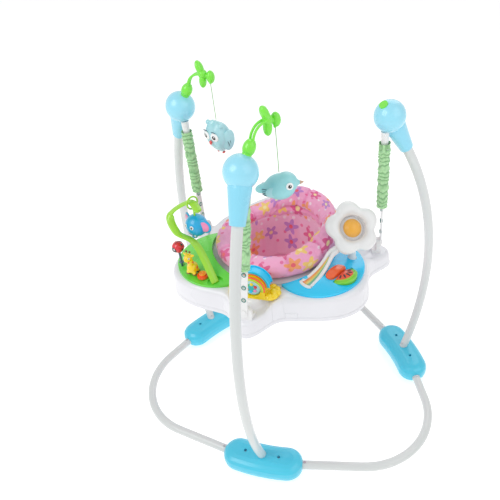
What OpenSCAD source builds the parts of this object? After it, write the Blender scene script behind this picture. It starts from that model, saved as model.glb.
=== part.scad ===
// Baby jumper: three bowed poles on a ring of base tubes,
// with a play tray and a swivel seat hung from springs.
// Millimetres, +Z up, floor at z = 0. Front is -Y. Poles: 0 front, 1 right, 2 left.

/* [Tubes] */
// Outside diameter of the steel tubes
tube_d = 22; // [18:1:26]
// Wall of the steel tubes
tube_wall = 1.5; // [1:0.1:2.5]
// Height of the base tubes' centre lines
base_z = 32; // [28:1:36]
// Bend radius of the base tubes at their corners
corner_r = 180; // [120:5:200]
// How far a base tube reaches into a foot
tube_grip = 28; // [24:1:34]

/* [Feet] */
// Distance of the front foot from the middle of the frame
front_foot_r = 307; // [290:1:330]
// Distance of the side feet from the mirror plane
side_foot_x = 308; // [295:1:325]
// Distance of the side feet behind the middle
side_foot_y = 138; // [125:1:150]
// Direction that the side feet face, from the X axis
side_foot_az = 33; // [30:1:36]
// Half the length of a foot, end to end of its curve
foot_half = 84; // [78:1:92]
// Half the angle that a foot turns through
foot_half_turn = 10.7; // [9.5:0.1:12]
// Depth of a foot across its curve
foot_depth = 82; // [70:1:95]
// Height of a foot's top above the floor
foot_h = 62; // [56:1:70]
// Wall of the foot shells
foot_wall = 3; // [2:0.5:4]
// Thickness of the rubber pads under the feet
pad_h = 4; // [3:0.5:6]

/* [Poles] */
// Height of the head balls' centres
ball_z = 800; // [740:5:860]
// Diameter of the head balls
ball_d = 66; // [56:1:76]
// Outward lean of the poles at the foot
lean_foot = 21; // [18:0.5:24]
// Inward lean of the poles at the head
lean_head = 31; // [28:0.5:34]
// Direction in which the side poles bow, from the X axis
side_lean_az = 44; // [38:1:50]
// Height at which the poles start to bend
bend_z = 66; // [64:1:80]
// Straight length between the bend and the ball's centre
head_l = 100; // [90:1:115]
// Diameter of a head socket at its lower end
socket_low_d = 30; // [27:0.5:34]
// Diameter of a head socket at the ball
socket_top_d = 45; // [40:1:50]

/* [Springs] */
// Distance of the strap pegs from the middle of the frame
peg_out = 236; // [230:1:242]
// Height of the strap pegs over the tray
peg_up = 1; // [0:0.5:4]
// Direction of the side pegs, from the X axis
side_peg_az = 15; // [12:1:18]
// How far the front peg hangs to the left
front_peg_left = 20; // [15:1:25]
// Diameter of the springs
spring_d = 14; // [11:0.5:15]
// Diameter of the spring wire
spring_wire = 2; // [1.5:0.1:2.4]
// Number of curls in each spring
spring_curls = 14; // [8:1:20]
// Largest diameter of the gathered sleeves
sleeve_d = 27; // [24:0.5:32]
// Number of gathers along a sleeve
sleeve_gathers = 13; // [8:1:18]
// Length of the sleeves
sleeve_l = 156; // [140:1:165]
// Width of the straps
strap_w = 16; // [12:0.5:17]
// Thickness of the straps
strap_t = 3; // [2:0.5:4]
// Distance between the strap's holes
strap_pitch = 31; // [26:1:34]

/* [Tray] */
// How far the tray's top hangs below the head balls
tray_drop = 315; // [305:1:325]
// Height of the skirt, from its lower edge to the tray's top
skirt_h = 60; // [50:1:70]
// Radius of the tray between its lobes
tray_r = 200; // [196:1:206]
// How far the tray hangs to the left of the frame's middle
tray_left = 16; // [12:1:20]
// How far the tray hangs behind the frame's middle
tray_back = 6; // [3:1:9]
// How far the play lobes stand out
lobe_out = 60; // [54:1:64]
// Direction of the right play lobe, from the X axis
lobe_az = -29; // [-32:1:-27]
// Direction of the left play lobe, from the X axis
left_lobe_az = 214; // [211:1:216]
// How far the tray reaches past the strap pegs
peg_edge = 20; // [18:0.5:22]
// Step down at the strap lobes
peg_step = 20; // [15:1:25]
// Radius of the tray's rounded rim
rim_r = 13; // [10:0.5:14]
// Wall of the tray shell
tray_wall = 3; // [2:0.25:4]
// Radius of the hole for the seat
hole_r = 141; // [138:0.5:143]

/* [Seat] */
// Direction that the seat's back faces, from the X axis
seat_az = 38; // [0:1:90]
// Radius of the padded rim
pad_r = 147; // [144:1:150]
// Height of the padded rim above the tray
pad_rise = 44; // [38:1:50]
// Extra height of the seat's back
back_rise = 50; // [40:1:56]
// Depth of the seat's bag below the tray
bag_depth = 190; // [170:1:210]
// Diameter of the leg holes
leg_d = 84; // [76:1:92]

/* [Toys] */
// Radius of the play panels' outer edge
panel_r = 104; // [98:1:106]
// Distance of the play panels' centres from the middle
panel_at = 137; // [132:1:140]
// Height of the play panels at their crown
panel_h = 18; // [14:0.5:22]
// Height of the ribbon arch above the tray
arch_h = 158; // [140:1:165]
// Diameter of the flower
flower_d = 124; // [110:1:128]
// Height of the flower's centre above the tray
flower_up = 92; // [85:1:100]
// Travel of the push buttons
button_travel = 3; // [2:0.5:4]
// Reach of a toy arm from the ball's centre to its string
arm_reach = 84; // [75:1:90]
// Rise of a toy arm's bow above the ball's centre
arm_rise = 78; // [72:1:84]
// Turn of the front toy arm in its ball
front_arm_turn = -36; // [-45:1:0]
// Turn of the left arm from the middle
left_arm_turn = 40; // [20:1:45]
// Length of the hanging toys' strings
string_l = 78; // [66:1:90]
// Length of the front toy's string
front_string_l = 88; // [76:1:100]

/* [Hidden] */

front = 0;
right = 1;
left = 2;
$fn = 64;
over = 1;
touch = 0.05;
slip = 0.15;
run = 0.3;
weld = 0.12;
tray_z = ball_z - tray_drop;
peg_z = tray_z + peg_up;

// Foot and pole places
tube_r = tube_d / 2;
bore_r = tube_r - tube_wall;
function mirrored(k, a) = k == left ? 180 - a : a;
function foot_az(k) = k == front ? -90 : mirrored(k, side_foot_az);
function lean_az(k) = k == front ? -90 : mirrored(k, side_lean_az);
tray_at = [-tray_left, tray_back];
function peg_xy(k) = k == front ? [-front_peg_left, -peg_out] : peg_out * dir(mirrored(k, side_peg_az));
function peg_off(k) = peg_xy(k) - tray_at;
function peg_r(k) = norm(peg_off(k));
function peg_az(k) = atan2(peg_off(k)[1], peg_off(k)[0]);
function foot_xy(k) = k == front ? [0, -front_foot_r]
  : [k == right ? side_foot_x : -side_foot_x, side_foot_y];
function dir(az) = [cos(az), sin(az)];
function unit(v) = v / norm(v);
foot_arc_r = foot_half / sin(foot_half_turn);
foot_sag = foot_arc_r * (1 - cos(foot_half_turn));

// The side poles' bow from foot to ball
bend_r = (ball_z - bend_z - head_l * cos(lean_head)) / (sin(lean_foot) + sin(lean_head));
bend_x = (bend_z - foot_h) * tan(lean_foot);
bend_cx = bend_x - bend_r * cos(lean_foot);
bend_cz = bend_z + bend_r * sin(lean_foot);
ball_x = bend_cx + bend_r * cos(lean_head) - head_l * sin(lean_head);
function ball_at(k) = let(p = foot_xy(k) + ball_x * dir(lean_az(k))) [p[0], p[1], ball_z];

// The base ring's front and rear corners, where the straight runs of a base tube would cross
function foot_end(k, side) = foot_xy(k) - foot_sag * dir(foot_az(k))
  + side * foot_half * dir(foot_az(k) + 90);
function end_az(k, side) = foot_az(k) + 90 + side * foot_half_turn;
function run_to_cross(p, a, q, b) = ((q - p)[0] * sin(b) - (q - p)[1] * cos(b)) / sin(b - a);

// The frame's middle is shifted so that the whole part is centred over the origin
front_reach = front_foot_r + bend_x + bend_r * (1 - cos(lean_foot)) + tube_r;
rear_from = foot_end(right, 1);
rear_half_turn = 180 - end_az(right, 1);
rear_run = run_to_cross(rear_from, end_az(right, 1), foot_end(left, -1), end_az(left, -1) + 180);
rear_reach = rear_from[1] + rear_run * sin(end_az(right, 1)) - corner_r * (1 / cos(rear_half_turn) - 1)
  + tube_r;
middle_y = (front_reach - rear_reach) / 2;
module framed() {
  translate([0, middle_y, 0]) children();
}
module hung() {
  framed() translate(tray_at) children();
}
module at_foot(k) {
  framed() translate(foot_xy(k)) rotate(foot_az(k) - 90) children();
}
module at_pole(k) {
  framed() translate(foot_xy(k)) rotate(lean_az(k)) children();
}
module at_head(k) {
  at_pole(k) translate([ball_x, 0, ball_z]) rotate([0, -lean_head, 0]) children();
}

// Swept tubes: rings of points round a path
function path_tangent(p, i) = unit(p[min(i + 1, len(p) - 1)] - p[max(i - 1, 0)]);
function ring_at(c, t, ref, rx, ry, sides) = let(u = unit(cross(ref, t)), v = cross(t, u))
  [for (j = [0:sides - 1]) c + rx * cos(360 * j / sides) * u + ry * sin(360 * j / sides) * v];
function sweep_points(p, ref, rx, ry, sides) =
  [for (i = [0:len(p) - 1]) each ring_at(p[i], path_tangent(p, i), ref, rx, ry, sides)];
function ring_faces(rings, sides) = [for (i = [0:rings - 2], j = [0:sides - 1])
  let(a = i * sides + j, b = i * sides + (j + 1) % sides)
    each [[a, b, b + sides], [a, b + sides, a + sides]]];
function cap_faces(rings, sides) = [[for (j = [sides - 1:-1:0]) j],
  [for (j = [0:sides - 1]) (rings - 1) * sides + j]];
module sweep(p, ref, rx, ry, sides) {
  faces = concat(ring_faces(len(p), sides), cap_faces(len(p), sides));
  polyhedron(sweep_points(p, ref, rx, ry, sides), [for (f = faces) [for (i = [len(f) - 1:-1:0]) f[i]]]);
}
// A closed shell whose last ring joins its first
module band(rings, sides) {
  n = len(rings) * sides;
  faces = [for (i = [0:len(rings) - 1], j = [0:sides - 1])
    let(a = i * sides + j, b = i * sides + (j + 1) % sides)
    each [[a, b, (b + sides) % n], [a, (b + sides) % n, (a + sides) % n]]];
  polyhedron([for (r = rings) each r], faces);
}
module tube_ring(grow = 0) {
  difference() {
    circle(r = tube_r + grow);
    circle(r = bore_r - grow);
  }
}

// Base tubes: a straight run, a corner bend and a straight run, from foot k to foot m
module base_tube(k, m) {
  p = foot_end(k, 1);
  q = foot_end(m, -1);
  a = end_az(k, 1);
  b = end_az(m, -1);
  turn = (b - a + 360) % 360;
  cut = corner_r * tan(turn / 2);
  p_run = run_to_cross(p, a, q, b);
  cross_at = p + p_run * dir(a);
  q_run = norm(q - cross_at);
  color("whitesmoke") framed() translate([0, 0, base_z]) {
    translate(p - tube_grip * dir(a)) rotate([90, 0, a + 90])
      linear_extrude(p_run - cut + tube_grip + over) tube_ring();
    translate(cross_at - cut * dir(a)) rotate(a - 90) translate([-corner_r, 0, 0])
      rotate_extrude(angle = turn, $fn = 96) translate([corner_r, 0]) tube_ring(weld);
    translate(cross_at + (cut - over) * dir(b)) rotate([90, 0, b + 90])
      linear_extrude(q_run - cut + tube_grip + over) tube_ring();
  }
}
module base_tube_right() { base_tube(front, right); }
module base_tube_back() { base_tube(right, left); }
module base_tube_left() { base_tube(left, front); }

// Feet: a curved, rounded shell in two halves, split at the base tubes' height
foot_low = pad_h;
foot_mid_z = (foot_h + foot_low) / 2;
foot_rise = (foot_h - foot_low) / 2;
foot_power = 2.7;
foot_steps = 20;
foot_end_run = foot_half - foot_depth / 4;
foot_body_turn = asin(foot_end_run / foot_arc_r);
function bulge(t, rx, rz) = [rx * sign(cos(t)) * pow(abs(cos(t)), 2 / foot_power),
  rz * sign(sin(t)) * pow(abs(sin(t)), 2 / foot_power)];
module foot_outline(inset) {
  polygon([for (i = [0:foot_steps - 1])
    bulge(360 * i / foot_steps, foot_depth / 2 - inset, foot_rise - inset)]);
}
module foot_half_outline(inset) {
  polygon([for (i = [0:foot_steps / 2])
    bulge(360 * i / foot_steps - 90, foot_depth / 2 - inset, foot_rise - inset)]);
}
module foot_solid(inset) {
  translate([0, -foot_arc_r, foot_mid_z]) {
    rotate(90 - foot_body_turn) rotate_extrude(angle = 2 * foot_body_turn, $fn = 96)
      translate([foot_arc_r, 0]) foot_outline(inset);
    for (s = [-1, 1]) rotate(90 + s * foot_body_turn) translate([foot_arc_r, 0, 0])
      rotate_extrude($fn = 48) foot_half_outline(inset + weld);
  }
}
module foot_bores(grow) {
  for (s = [-1, 1]) translate([s * foot_half, -foot_sag, base_z])
    rotate([90, 0, s * (90 - foot_half_turn)])
    translate([0, 0, -tube_grip - slip]) cylinder(r = tube_r + weld + grow,
      h = foot_depth + tube_grip + slip);
}
module pole_bore(k, grow) {
  rotate(lean_az(k) - foot_az(k) + 90) translate([0, 0, foot_h]) rotate([0, lean_foot, 0])
    translate([0, 0, -pole_grip - slip]) cylinder(r = tube_r + grow, h = pole_grip + foot_h);
}
pole_grip_share = 0.72;
pole_grip = (foot_h - base_z) * pole_grip_share;
screw_r = 2;
screw_head_r = 4;
screw_head_h = 3;
screw_at_share = 0.52;
screw_x = foot_half * screw_at_share;
screw_y = -foot_arc_r * (1 - cos(asin(screw_x / foot_arc_r)));
screw_seat_z = foot_h - 4 * foot_wall;
boss_r = screw_head_r + foot_wall / 2;
module foot_shell(k) {
  difference() {
    foot_solid(0);
    difference() {
      foot_solid(foot_wall);
      for (s = [-1, 1]) translate([s * screw_x, screw_y, 0]) cylinder(r = boss_r, h = foot_h);
      pole_bore(k, foot_wall);
    }
    foot_bores(slip);
    pole_bore(k, slip);
    for (s = [-1, 1]) translate([s * screw_x, screw_y, 0]) {
      cylinder(r = screw_r + slip, h = screw_seat_z + over);
      translate([0, 0, screw_seat_z]) cylinder(r = screw_head_r + slip, h = foot_h);
    }
  }
}
module foot_cover(k) {
  color("deepskyblue") at_foot(k) intersection() {
    foot_shell(k);
    translate([-foot_half - foot_depth, -foot_depth, base_z])
      cube([2 * (foot_half + foot_depth), 2 * foot_depth, foot_h]);
  }
}
module foot_base(k) {
  color("deepskyblue") at_foot(k) difference() {
    foot_shell(k);
    translate([-foot_half - foot_depth, -foot_depth, base_z - touch])
      cube([2 * (foot_half + foot_depth), 2 * foot_depth, foot_h]);
  }
}
module foot_cover_front() { foot_cover(front); }
module foot_cover_right() { foot_cover(right); }
module foot_cover_left() { foot_cover(left); }
module foot_base_front() { foot_base(front); }
module foot_base_right() { foot_base(right); }
module foot_base_left() { foot_base(left); }
foot_pad_r = 13;
module foot_pads() {
  color("dimgray") for (k = [front, right, left]) at_foot(k)
    for (s = [-1, 1]) translate([s * screw_x, screw_y, 0]) difference() {
      cylinder(r = foot_pad_r, h = pad_h - touch);
      translate([0, 0, -over]) cylinder(r = screw_r + slip, h = foot_h);
    }
}
module foot_screws() {
  color("silver") for (k = [front, right, left]) at_foot(k)
    for (s = [-1, 1]) translate([s * screw_x, screw_y, 0]) {
      translate([0, 0, foot_low + foot_wall])
        cylinder(r = screw_r, h = screw_seat_z - foot_low - foot_wall);
      translate([0, 0, screw_seat_z]) difference() {
        cylinder(r = screw_head_r, h = screw_head_h);
        translate([0, 0, screw_head_h / 2]) {
          cube([screw_head_r, screw_wall, screw_head_h], center = true);
          cube([screw_wall, screw_head_r, screw_head_h], center = true);
        }
      }
    }
}
screw_wall = 1;
// Sprung buttons that lock the base tubes and the poles
snap_r = 3;
snap_out = 1.8;
snap_from_foot = 24;
module snap_buttons() {
  color("gainsboro") {
    for (k = [front, right, left], s = [-1, 1]) at_foot(k)
      translate([s * foot_half, -foot_sag, base_z]) rotate(-s * foot_half_turn)
      translate([s * snap_from_foot, 0, tube_r + weld + touch]) cylinder(r = snap_r, h = snap_out);
    for (k = [front, right, left]) at_pole(k) translate([0, 0, foot_h]) rotate([0, lean_foot, 0])
      translate([-tube_r - weld - touch, 0, snap_from_foot / 4]) rotate([0, -90, 0])
        cylinder(r = snap_r, h = snap_out);
  }
}

// Poles: a short straight in the foot, one long bend and a straight in the head socket
tube_end = ball_d / 2 + tube_wall;
module upright(k) {
  stub = (bend_z - foot_h) / cos(lean_foot);
  color("whitesmoke") at_pole(k) {
    translate([0, 0, foot_h]) rotate([0, lean_foot, 0]) translate([0, 0, -pole_grip])
      linear_extrude(pole_grip + stub + over) tube_ring();
    translate([bend_cx, 0, bend_cz]) rotate([90, 0, 0]) rotate(-lean_foot)
      rotate_extrude(angle = lean_foot + lean_head, $fn = 96) translate([bend_r, 0]) tube_ring(weld);
    translate([ball_x, 0, ball_z]) rotate([0, -lean_head, 0]) translate([0, 0, -head_l - over])
      linear_extrude(head_l + over - tube_end) tube_ring();
  }
}
module upright_front() { upright(front); }
module upright_right() { upright(right); }
module upright_left() { upright(left); }

// Heads: a tapered socket with a cupped top, and a hollow ball that sits in the cup
socket_l = head_l - 4;
cup_at = sqrt(pow(ball_d / 2, 2) - pow(socket_top_d / 2, 2));
lip_h = 5;
ball_wall = 3;
module head_socket(k) {
  color("skyblue") at_head(k) difference() {
    union() {
      translate([0, 0, -socket_l]) cylinder(d1 = socket_low_d, d2 = socket_top_d,
        h = socket_l - cup_at - lip_h);
      translate([0, 0, -cup_at - lip_h - touch]) cylinder(d = socket_top_d, h = lip_h + touch);
    }
    sphere(d = ball_d + 2 * touch, $fn = 96);
    translate([0, 0, -head_l - over]) cylinder(r = tube_r + slip, h = head_l + over - tube_end + slip);
  }
}
module head_ball(k) {
  color("lightskyblue") difference() {
    at_head(k) sphere(d = ball_d, $fn = 96);
    at_head(k) sphere(d = ball_d - 2 * ball_wall, $fn = 96);
    at_plug(k) translate([0, 0, plug_seat]) cylinder(r = plug_r + slip, h = ball_d);
  }
}
module head_socket_front() { head_socket(front); }
module head_socket_right() { head_socket(right); }
module head_socket_left() { head_socket(left); }
module head_ball_front() { head_ball(front); }
module head_ball_right() { head_ball(right); }
module head_ball_left() { head_ball(left); }

// Springs hang from the underside of the balls to the pegs on the tray
hook_tilt = 16;
function hook_at(k) = ball_at(k) - ball_d / 2 * [sin(hook_tilt) * cos(lean_az(k)), sin(hook_tilt)
  * sin(lean_az(k)), cos(hook_tilt)];
function peg_at(k) = concat(peg_xy(k), peg_z);
function hang(k) = hook_at(k) - peg_at(k);
function hang_l(k) = norm(hang(k));
// Frame whose Z axis runs up the spring from the peg, with X pointing outwards
module at_hang(k) {
  v = hang(k);
  az = peg_az(k);
  out = v[0] * cos(az) + v[1] * sin(az);
  side = v[1] * cos(az) - v[0] * sin(az);
  framed() translate(peg_at(k)) rotate(az)
    rotate([-atan2(side, norm([out, v[2]])), atan2(out, v[2]), 0]) children();
}
hanger_l = 30;
hanger_top_d = 18;
hanger_low_d = 15;
sleeve_from = 24;
spring_room = 4;
spring_tail = 14;
spring_from = hanger_l + spring_room;
spring_to = sleeve_from + sleeve_l - spring_tail;
spigot_l = 12;
module spring_hangers() {
  color("white") for (k = [front, right, left]) difference() {
    at_hang(k) translate([0, 0, hang_l(k) - hanger_l]) {
      cylinder(d1 = hanger_low_d, d2 = hanger_top_d, h = hanger_l + over);
      translate([0, 0, -spigot_l]) cylinder(d = spring_d - 3 * spring_wire, h = spigot_l + touch);
    }
    at_head(k) sphere(d = ball_d + 2 * touch, $fn = 96);
    at_head(k) translate([0, 0, -head_l])
      cylinder(d1 = socket_low_d + slip, d2 = socket_top_d + slip, h = head_l - cup_at - lip_h);
    at_head(k) translate([0, 0, -cup_at - lip_h]) cylinder(d = socket_top_d + slip, h = lip_h);
  }
}
spring_steps = 8;
spring_rings = spring_curls * spring_steps;
spring_mean_r = (spring_d - spring_wire) / 2;
function spring_path(low, high) = [for (i = [0:spring_rings])
  let(a = 360 * i / spring_steps) [spring_mean_r * cos(a), spring_mean_r * sin(a), low + (high - low)
    * i / spring_rings]];
spring_gap = (spring_to - spring_from)
  / spring_curls * cos(atan((spring_to - spring_from) / spring_curls / PI / spring_d)) - spring_wire;
echo(spring_gap = spring_gap);
module spring(k) {
  color("silver") at_hang(k)
    sweep(spring_path(hang_l(k) - spring_to, hang_l(k) - spring_from), [0, 0, 1], spring_wire / 2,
      spring_wire / 2, 6);
}
module spring_front() { spring(front); }
module spring_right() { spring(right); }
module spring_left() { spring(left); }
sleeve_t = 1.5;
gather_shares = [1, 0.86, 0.95, 0.82, 0.98, 0.88, 0.92];
gather_dip_share = 0.8;
sleeve_in_d = max(hanger_top_d, strap_w) + 2 * slip + 1;
module sleeve(k) {
  n = 2 * sleeve_gathers;
  room = sleeve_d / 2 - sleeve_in_d / 2 - sleeve_t;
  outer = [for (i = [0:n]) let(bulb = gather_shares[i % len(gather_shares)]
    * (i % 2 == 0 ? gather_dip_share - 1 : 1))
    [sleeve_in_d / 2 + sleeve_t + room * max(0, bulb), sleeve_l * i / n]];
  color("darkseagreen") at_hang(k) translate([0, 0, hang_l(k) - sleeve_from - sleeve_l])
    rotate_extrude($fn = 48) polygon(concat(outer, [for (i = [n:-1:0]) outer[i] - [sleeve_t, 0]]));
}
module sleeve_front() { sleeve(front); }
module sleeve_right() { sleeve(right); }
module sleeve_left() { sleeve(left); }

// Straps: moulded webs with a row of holes, hooked on the tray's pegs
peg_d = 6;
peg_head_d = 10;
peg_head_h = 2.5;
strap_tail = 14;
strap_holes = 4;
eyelet_rim = 1.5;
eyelet_h = 1;
module strap_shape(top) {
  hull_w = strap_w / 2;
  difference() {
    union() {
      translate([-hull_w, -strap_tail + hull_w]) square([strap_w, top + strap_tail - 2 * hull_w]);
      for (y = [hull_w - strap_tail, top - hull_w]) translate([0, y]) circle(r = hull_w);
    }
    for (i = [0:strap_holes - 1]) translate([0, i * strap_pitch]) circle(d = peg_d + 2 * slip);
  }
}
module strap(k) {
  top = hang_l(k) - spring_to - 3 * slip - spring_wire / 2;
  color("white") at_hang(k) rotate([90, 0, 90]) {
    linear_extrude(strap_t, center = true) strap_shape(top);
    for (i = [0:strap_holes - 2], s = [-1, 1]) translate([0, (i + 1) * strap_pitch, s * strap_t / 2])
      mirror([0, 0, s < 0 ? 1 : 0])
      difference() {
        cylinder(d = peg_d + 2 * slip + 2 * eyelet_rim, h = eyelet_h);
        translate([0, 0, -over]) cylinder(d = peg_d + 2 * slip, h = eyelet_h + 2 * over);
      }
  }
}
module strap_front() { strap(front); }
module strap_right() { strap(right); }
module strap_left() { strap(left); }
bracket_w = 34;
bracket_t = 9;
bracket_up = 12;
bracket_foot = 12;
module strap_brackets() {
  drop = peg_z - tray_z + peg_step;
  color("white") for (k = [front, right, left]) {
    difference() {
      union() {
        at_hang(k) translate([-strap_t / 2 - slip, 0, 0]) rotate([0, -90, 0]) {
          translate([bracket_up - bracket_w / 2, 0, 0]) cylinder(d = bracket_w, h = bracket_t);
          translate([-drop, -bracket_w / 2, 0])
            cube([drop + bracket_up - bracket_w / 2, bracket_w, bracket_t]);
        }
        hung() translate([0, 0, peg_z - drop]) rotate(peg_az(k))
          translate([peg_r(k) - bracket_t - bracket_foot, -bracket_w / 2, 0])
          cube([bracket_foot + bracket_t - 2 * strap_t, bracket_w, bracket_t]);
        at_hang(k) rotate([0, 90, 0]) {
          translate([0, 0, -strap_t - bracket_t / 2])
            cylinder(d = peg_d, h = strap_t + bracket_t / 2 + strap_t / 2 + slip + touch);
          translate([0, 0, strap_t / 2 + slip]) cylinder(d = peg_head_d, h = peg_head_h);
        }
      }
      hung() translate([0, 0, peg_z - drop - foot_h])
        cylinder(r = peg_r(k) + foot_h, h = foot_h + touch);
    }
  }
}

// Tray: a lofted shell with play lobes between three strap lobes
tray_steps = 120;
skirt_flare = 4;
lobe_spread = 27;
rear_spread = 34;
peg_spread = 11;
peg_flat_share = 1.7;
step_in_share = 0.6;
step_out_share = 0.68;
function turn_between(a, b) = let(d = (a - b) % 360) d > 180 ? d - 360 : d < -180 ? d + 360 : d;
function swell(t, az, spread) = exp(-pow(turn_between(t, az) / spread, 2));
function peg_swell(t) = max([for (k = [front, right, left]) swell(t, peg_az(k), peg_spread)]);
function play_swell(t) = swell(t, lobe_az, lobe_spread) + swell(t, left_lobe_az, lobe_spread)
  + swell(t, 90, rear_spread);
function peg_reach(t) = max([for (k = [front, right, left]) (peg_r(k) + peg_edge - tray_r)
  * swell(t, peg_az(k), peg_spread)]);
function tray_edge(t) = tray_r + lobe_out * play_swell(t) + peg_reach(t);
function ease(s) = s * s * (3 - 2 * s);
function tray_step(t) = peg_step * ease(min(1, peg_flat_share * peg_swell(t)));
function tray_ring(r_of, z_of) = [for (i = [0:tray_steps - 1]) let(t = 360 * i / tray_steps)
  [r_of[i] * cos(t), r_of[i] * sin(t), z_of[i]]];
edges = [for (i = [0:tray_steps - 1]) tray_edge(360 * i / tray_steps)];
steps_down = [for (i = [0:tray_steps - 1]) tray_step(360 * i / tray_steps)];
ones = [for (i = [0:tray_steps - 1]) 1];
function flat_ring(share, low, inset) = tray_ring(
  [for (e = edges) (hole_r + inset) + share * (e - skirt_flare - rim_r - hole_r)],
  [for (i = [0:tray_steps - 1]) tray_z - low - (share > step_in_share ? steps_down[i] : 0)]);
function rim_ring(a, inset) = tray_ring(
  [for (e = edges) e - skirt_flare - rim_r + (rim_r - inset) * sin(a)],
  [for (s = steps_down) tray_z - s - rim_r + (rim_r - inset) * cos(a)]);
hole_lip = 14;
rim_turns = [30, 60, 85];
module tray_top() {
  low = tray_z - skirt_h;
  rings = concat(
    [tray_ring([for (o = ones) hole_r], [for (o = ones) tray_z - hole_lip])],
    [flat_ring(0, 0, 0), flat_ring(step_in_share, 0, 0), flat_ring(step_out_share, 0, 0),
      flat_ring(1, 0, 0)],
    [for (a = rim_turns) rim_ring(a, 0)],
    [tray_ring(edges, [for (o = ones) low])],
    [tray_ring([for (e = edges) e - tray_wall], [for (o = ones) low])],
    [for (a = [85, 30]) rim_ring(a, tray_wall)],
    [flat_ring(1, tray_wall, 0), flat_ring(step_out_share, tray_wall, -tray_wall / 2),
      flat_ring(step_in_share, tray_wall, -tray_wall / 2), flat_ring(0, tray_wall, tray_wall)],
    [tray_ring([for (o = ones) hole_r + tray_wall], [for (o = ones) tray_z - hole_lip])]);
  color("white") hung() band(rings, tray_steps);
}
// Underside: a plate inside the skirt with a wall round the seat's bearing
base_up = 8;
base_room = 12;
base_wall_h = 20;
base_gap = 1.5;
module tray_base() {
  inner = hole_r + base_room;
  z0 = tray_z - skirt_h + base_up;
  out_ring = [for (e = edges) e - tray_wall - skirt_flare * base_up / skirt_h - base_gap];
  function plate(r, z) = tray_ring(r, [for (o = ones) z]);
  color("white") hung() difference() {
    band([plate([for (o = ones) inner], z0), plate([for (o = ones) inner], z0 + base_wall_h),
      plate([for (o = ones) inner + tray_wall], z0 + base_wall_h),
        plate([for (o = ones) inner + tray_wall], z0 + tray_wall),
      plate(out_ring, z0 + tray_wall), plate(out_ring, z0)], tray_steps);
  }
}

// Seat: a ring that turns in the tray's hole, a retainer under it and the padded bag
ring_gap = 1;
flange_r = hole_r + 10;
flange_h = 5;
ring_in_r = hole_r - 13;
ring_r = hole_r - ring_gap;
retainer_h = 6;
module seat_ring() {
  color("gainsboro") hung() rotate_extrude($fn = 96) polygon([
    [ring_in_r, tray_z - hole_lip - run], [ring_r, tray_z - hole_lip - run], [ring_r, tray_z + run],
    [flange_r, tray_z + run], [flange_r, tray_z + flange_h], [ring_in_r, tray_z + flange_h]]);
}
module seat_retainer() {
  top = tray_z - hole_lip - run;
  color("gainsboro") hung() rotate_extrude($fn = 96) polygon([
    [ring_in_r, top - retainer_h], [hole_r + tray_wall + ring_gap, top - retainer_h],
      [hole_r + tray_wall + ring_gap, top], [ring_in_r, top]]);
}
seat_steps = 48;
pad_low = flange_h + run;
bag_wall = 9;
back_spread = 62;
crease_share = 0.035;
crease_count = 8;
// Radius shares and height shares of the bag below the ring, from its rim to its bottom
bag_r_shares = [1, 0.94, 0.82, 0.6, 0.3];
bag_z_shares = [0, 0.3, 0.62, 0.86, 0.98];
bag_floor_share = 0.99;
function back_up(t) = back_rise * ease(min(1, 1.35 * swell(t, seat_az, back_spread)));
function folds(t) = 1 - crease_share * (1 + cos(crease_count * (t - seat_az))) / 2;
function seat_circle(r, z, fold, up) = [for (i = [0:seat_steps - 1])
  let(t = 360 * i / seat_steps, f = fold ? folds(t) : 1)
  [r * f * cos(t), r * f * sin(t), z + up * back_up(t)]];
bag_r = ring_in_r - run;
module seat_pad() {
  z0 = tray_z + pad_low;
  z1 = tray_z + pad_rise;
  mid = (z0 + z1) / 2;
  in_r = bag_r - bag_wall;
  pad_in_r = 2 * in_r - pad_r + bag_wall;
  rings = concat(
    [for (i = [len(bag_r_shares) - 1:-1:0])
      seat_circle(bag_r * bag_r_shares[i], tray_z - hole_lip - bag_depth * bag_z_shares[i], i > 0, 0)],
    [seat_circle(bag_r, z0, false, 0), seat_circle(pad_r - bag_wall, z0, false, 0),
      seat_circle(pad_r, mid, false, 0.35),
      seat_circle(pad_r - bag_wall / 2, (mid + z1) / 2 + bag_wall / 2, false, 0.8),
        seat_circle((pad_r + pad_in_r) / 2 + bag_wall / 2, z1, false, 1),
      seat_circle(pad_in_r + bag_wall / 2, (mid + z1) / 2 + bag_wall / 2, true, 0.8),
        seat_circle(pad_in_r, mid, true, 0.4)],
    [for (i = [0:len(bag_r_shares) - 1]) seat_circle((bag_r - bag_wall - bag_wall / 2)
      * bag_r_shares[i], tray_z - hole_lip - bag_depth * bag_z_shares[i] + bag_wall, true, 0)]);
  color("hotpink") hung() polyhedron([for (r = rings) each r], seat_faces(len(rings)));
}
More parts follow.
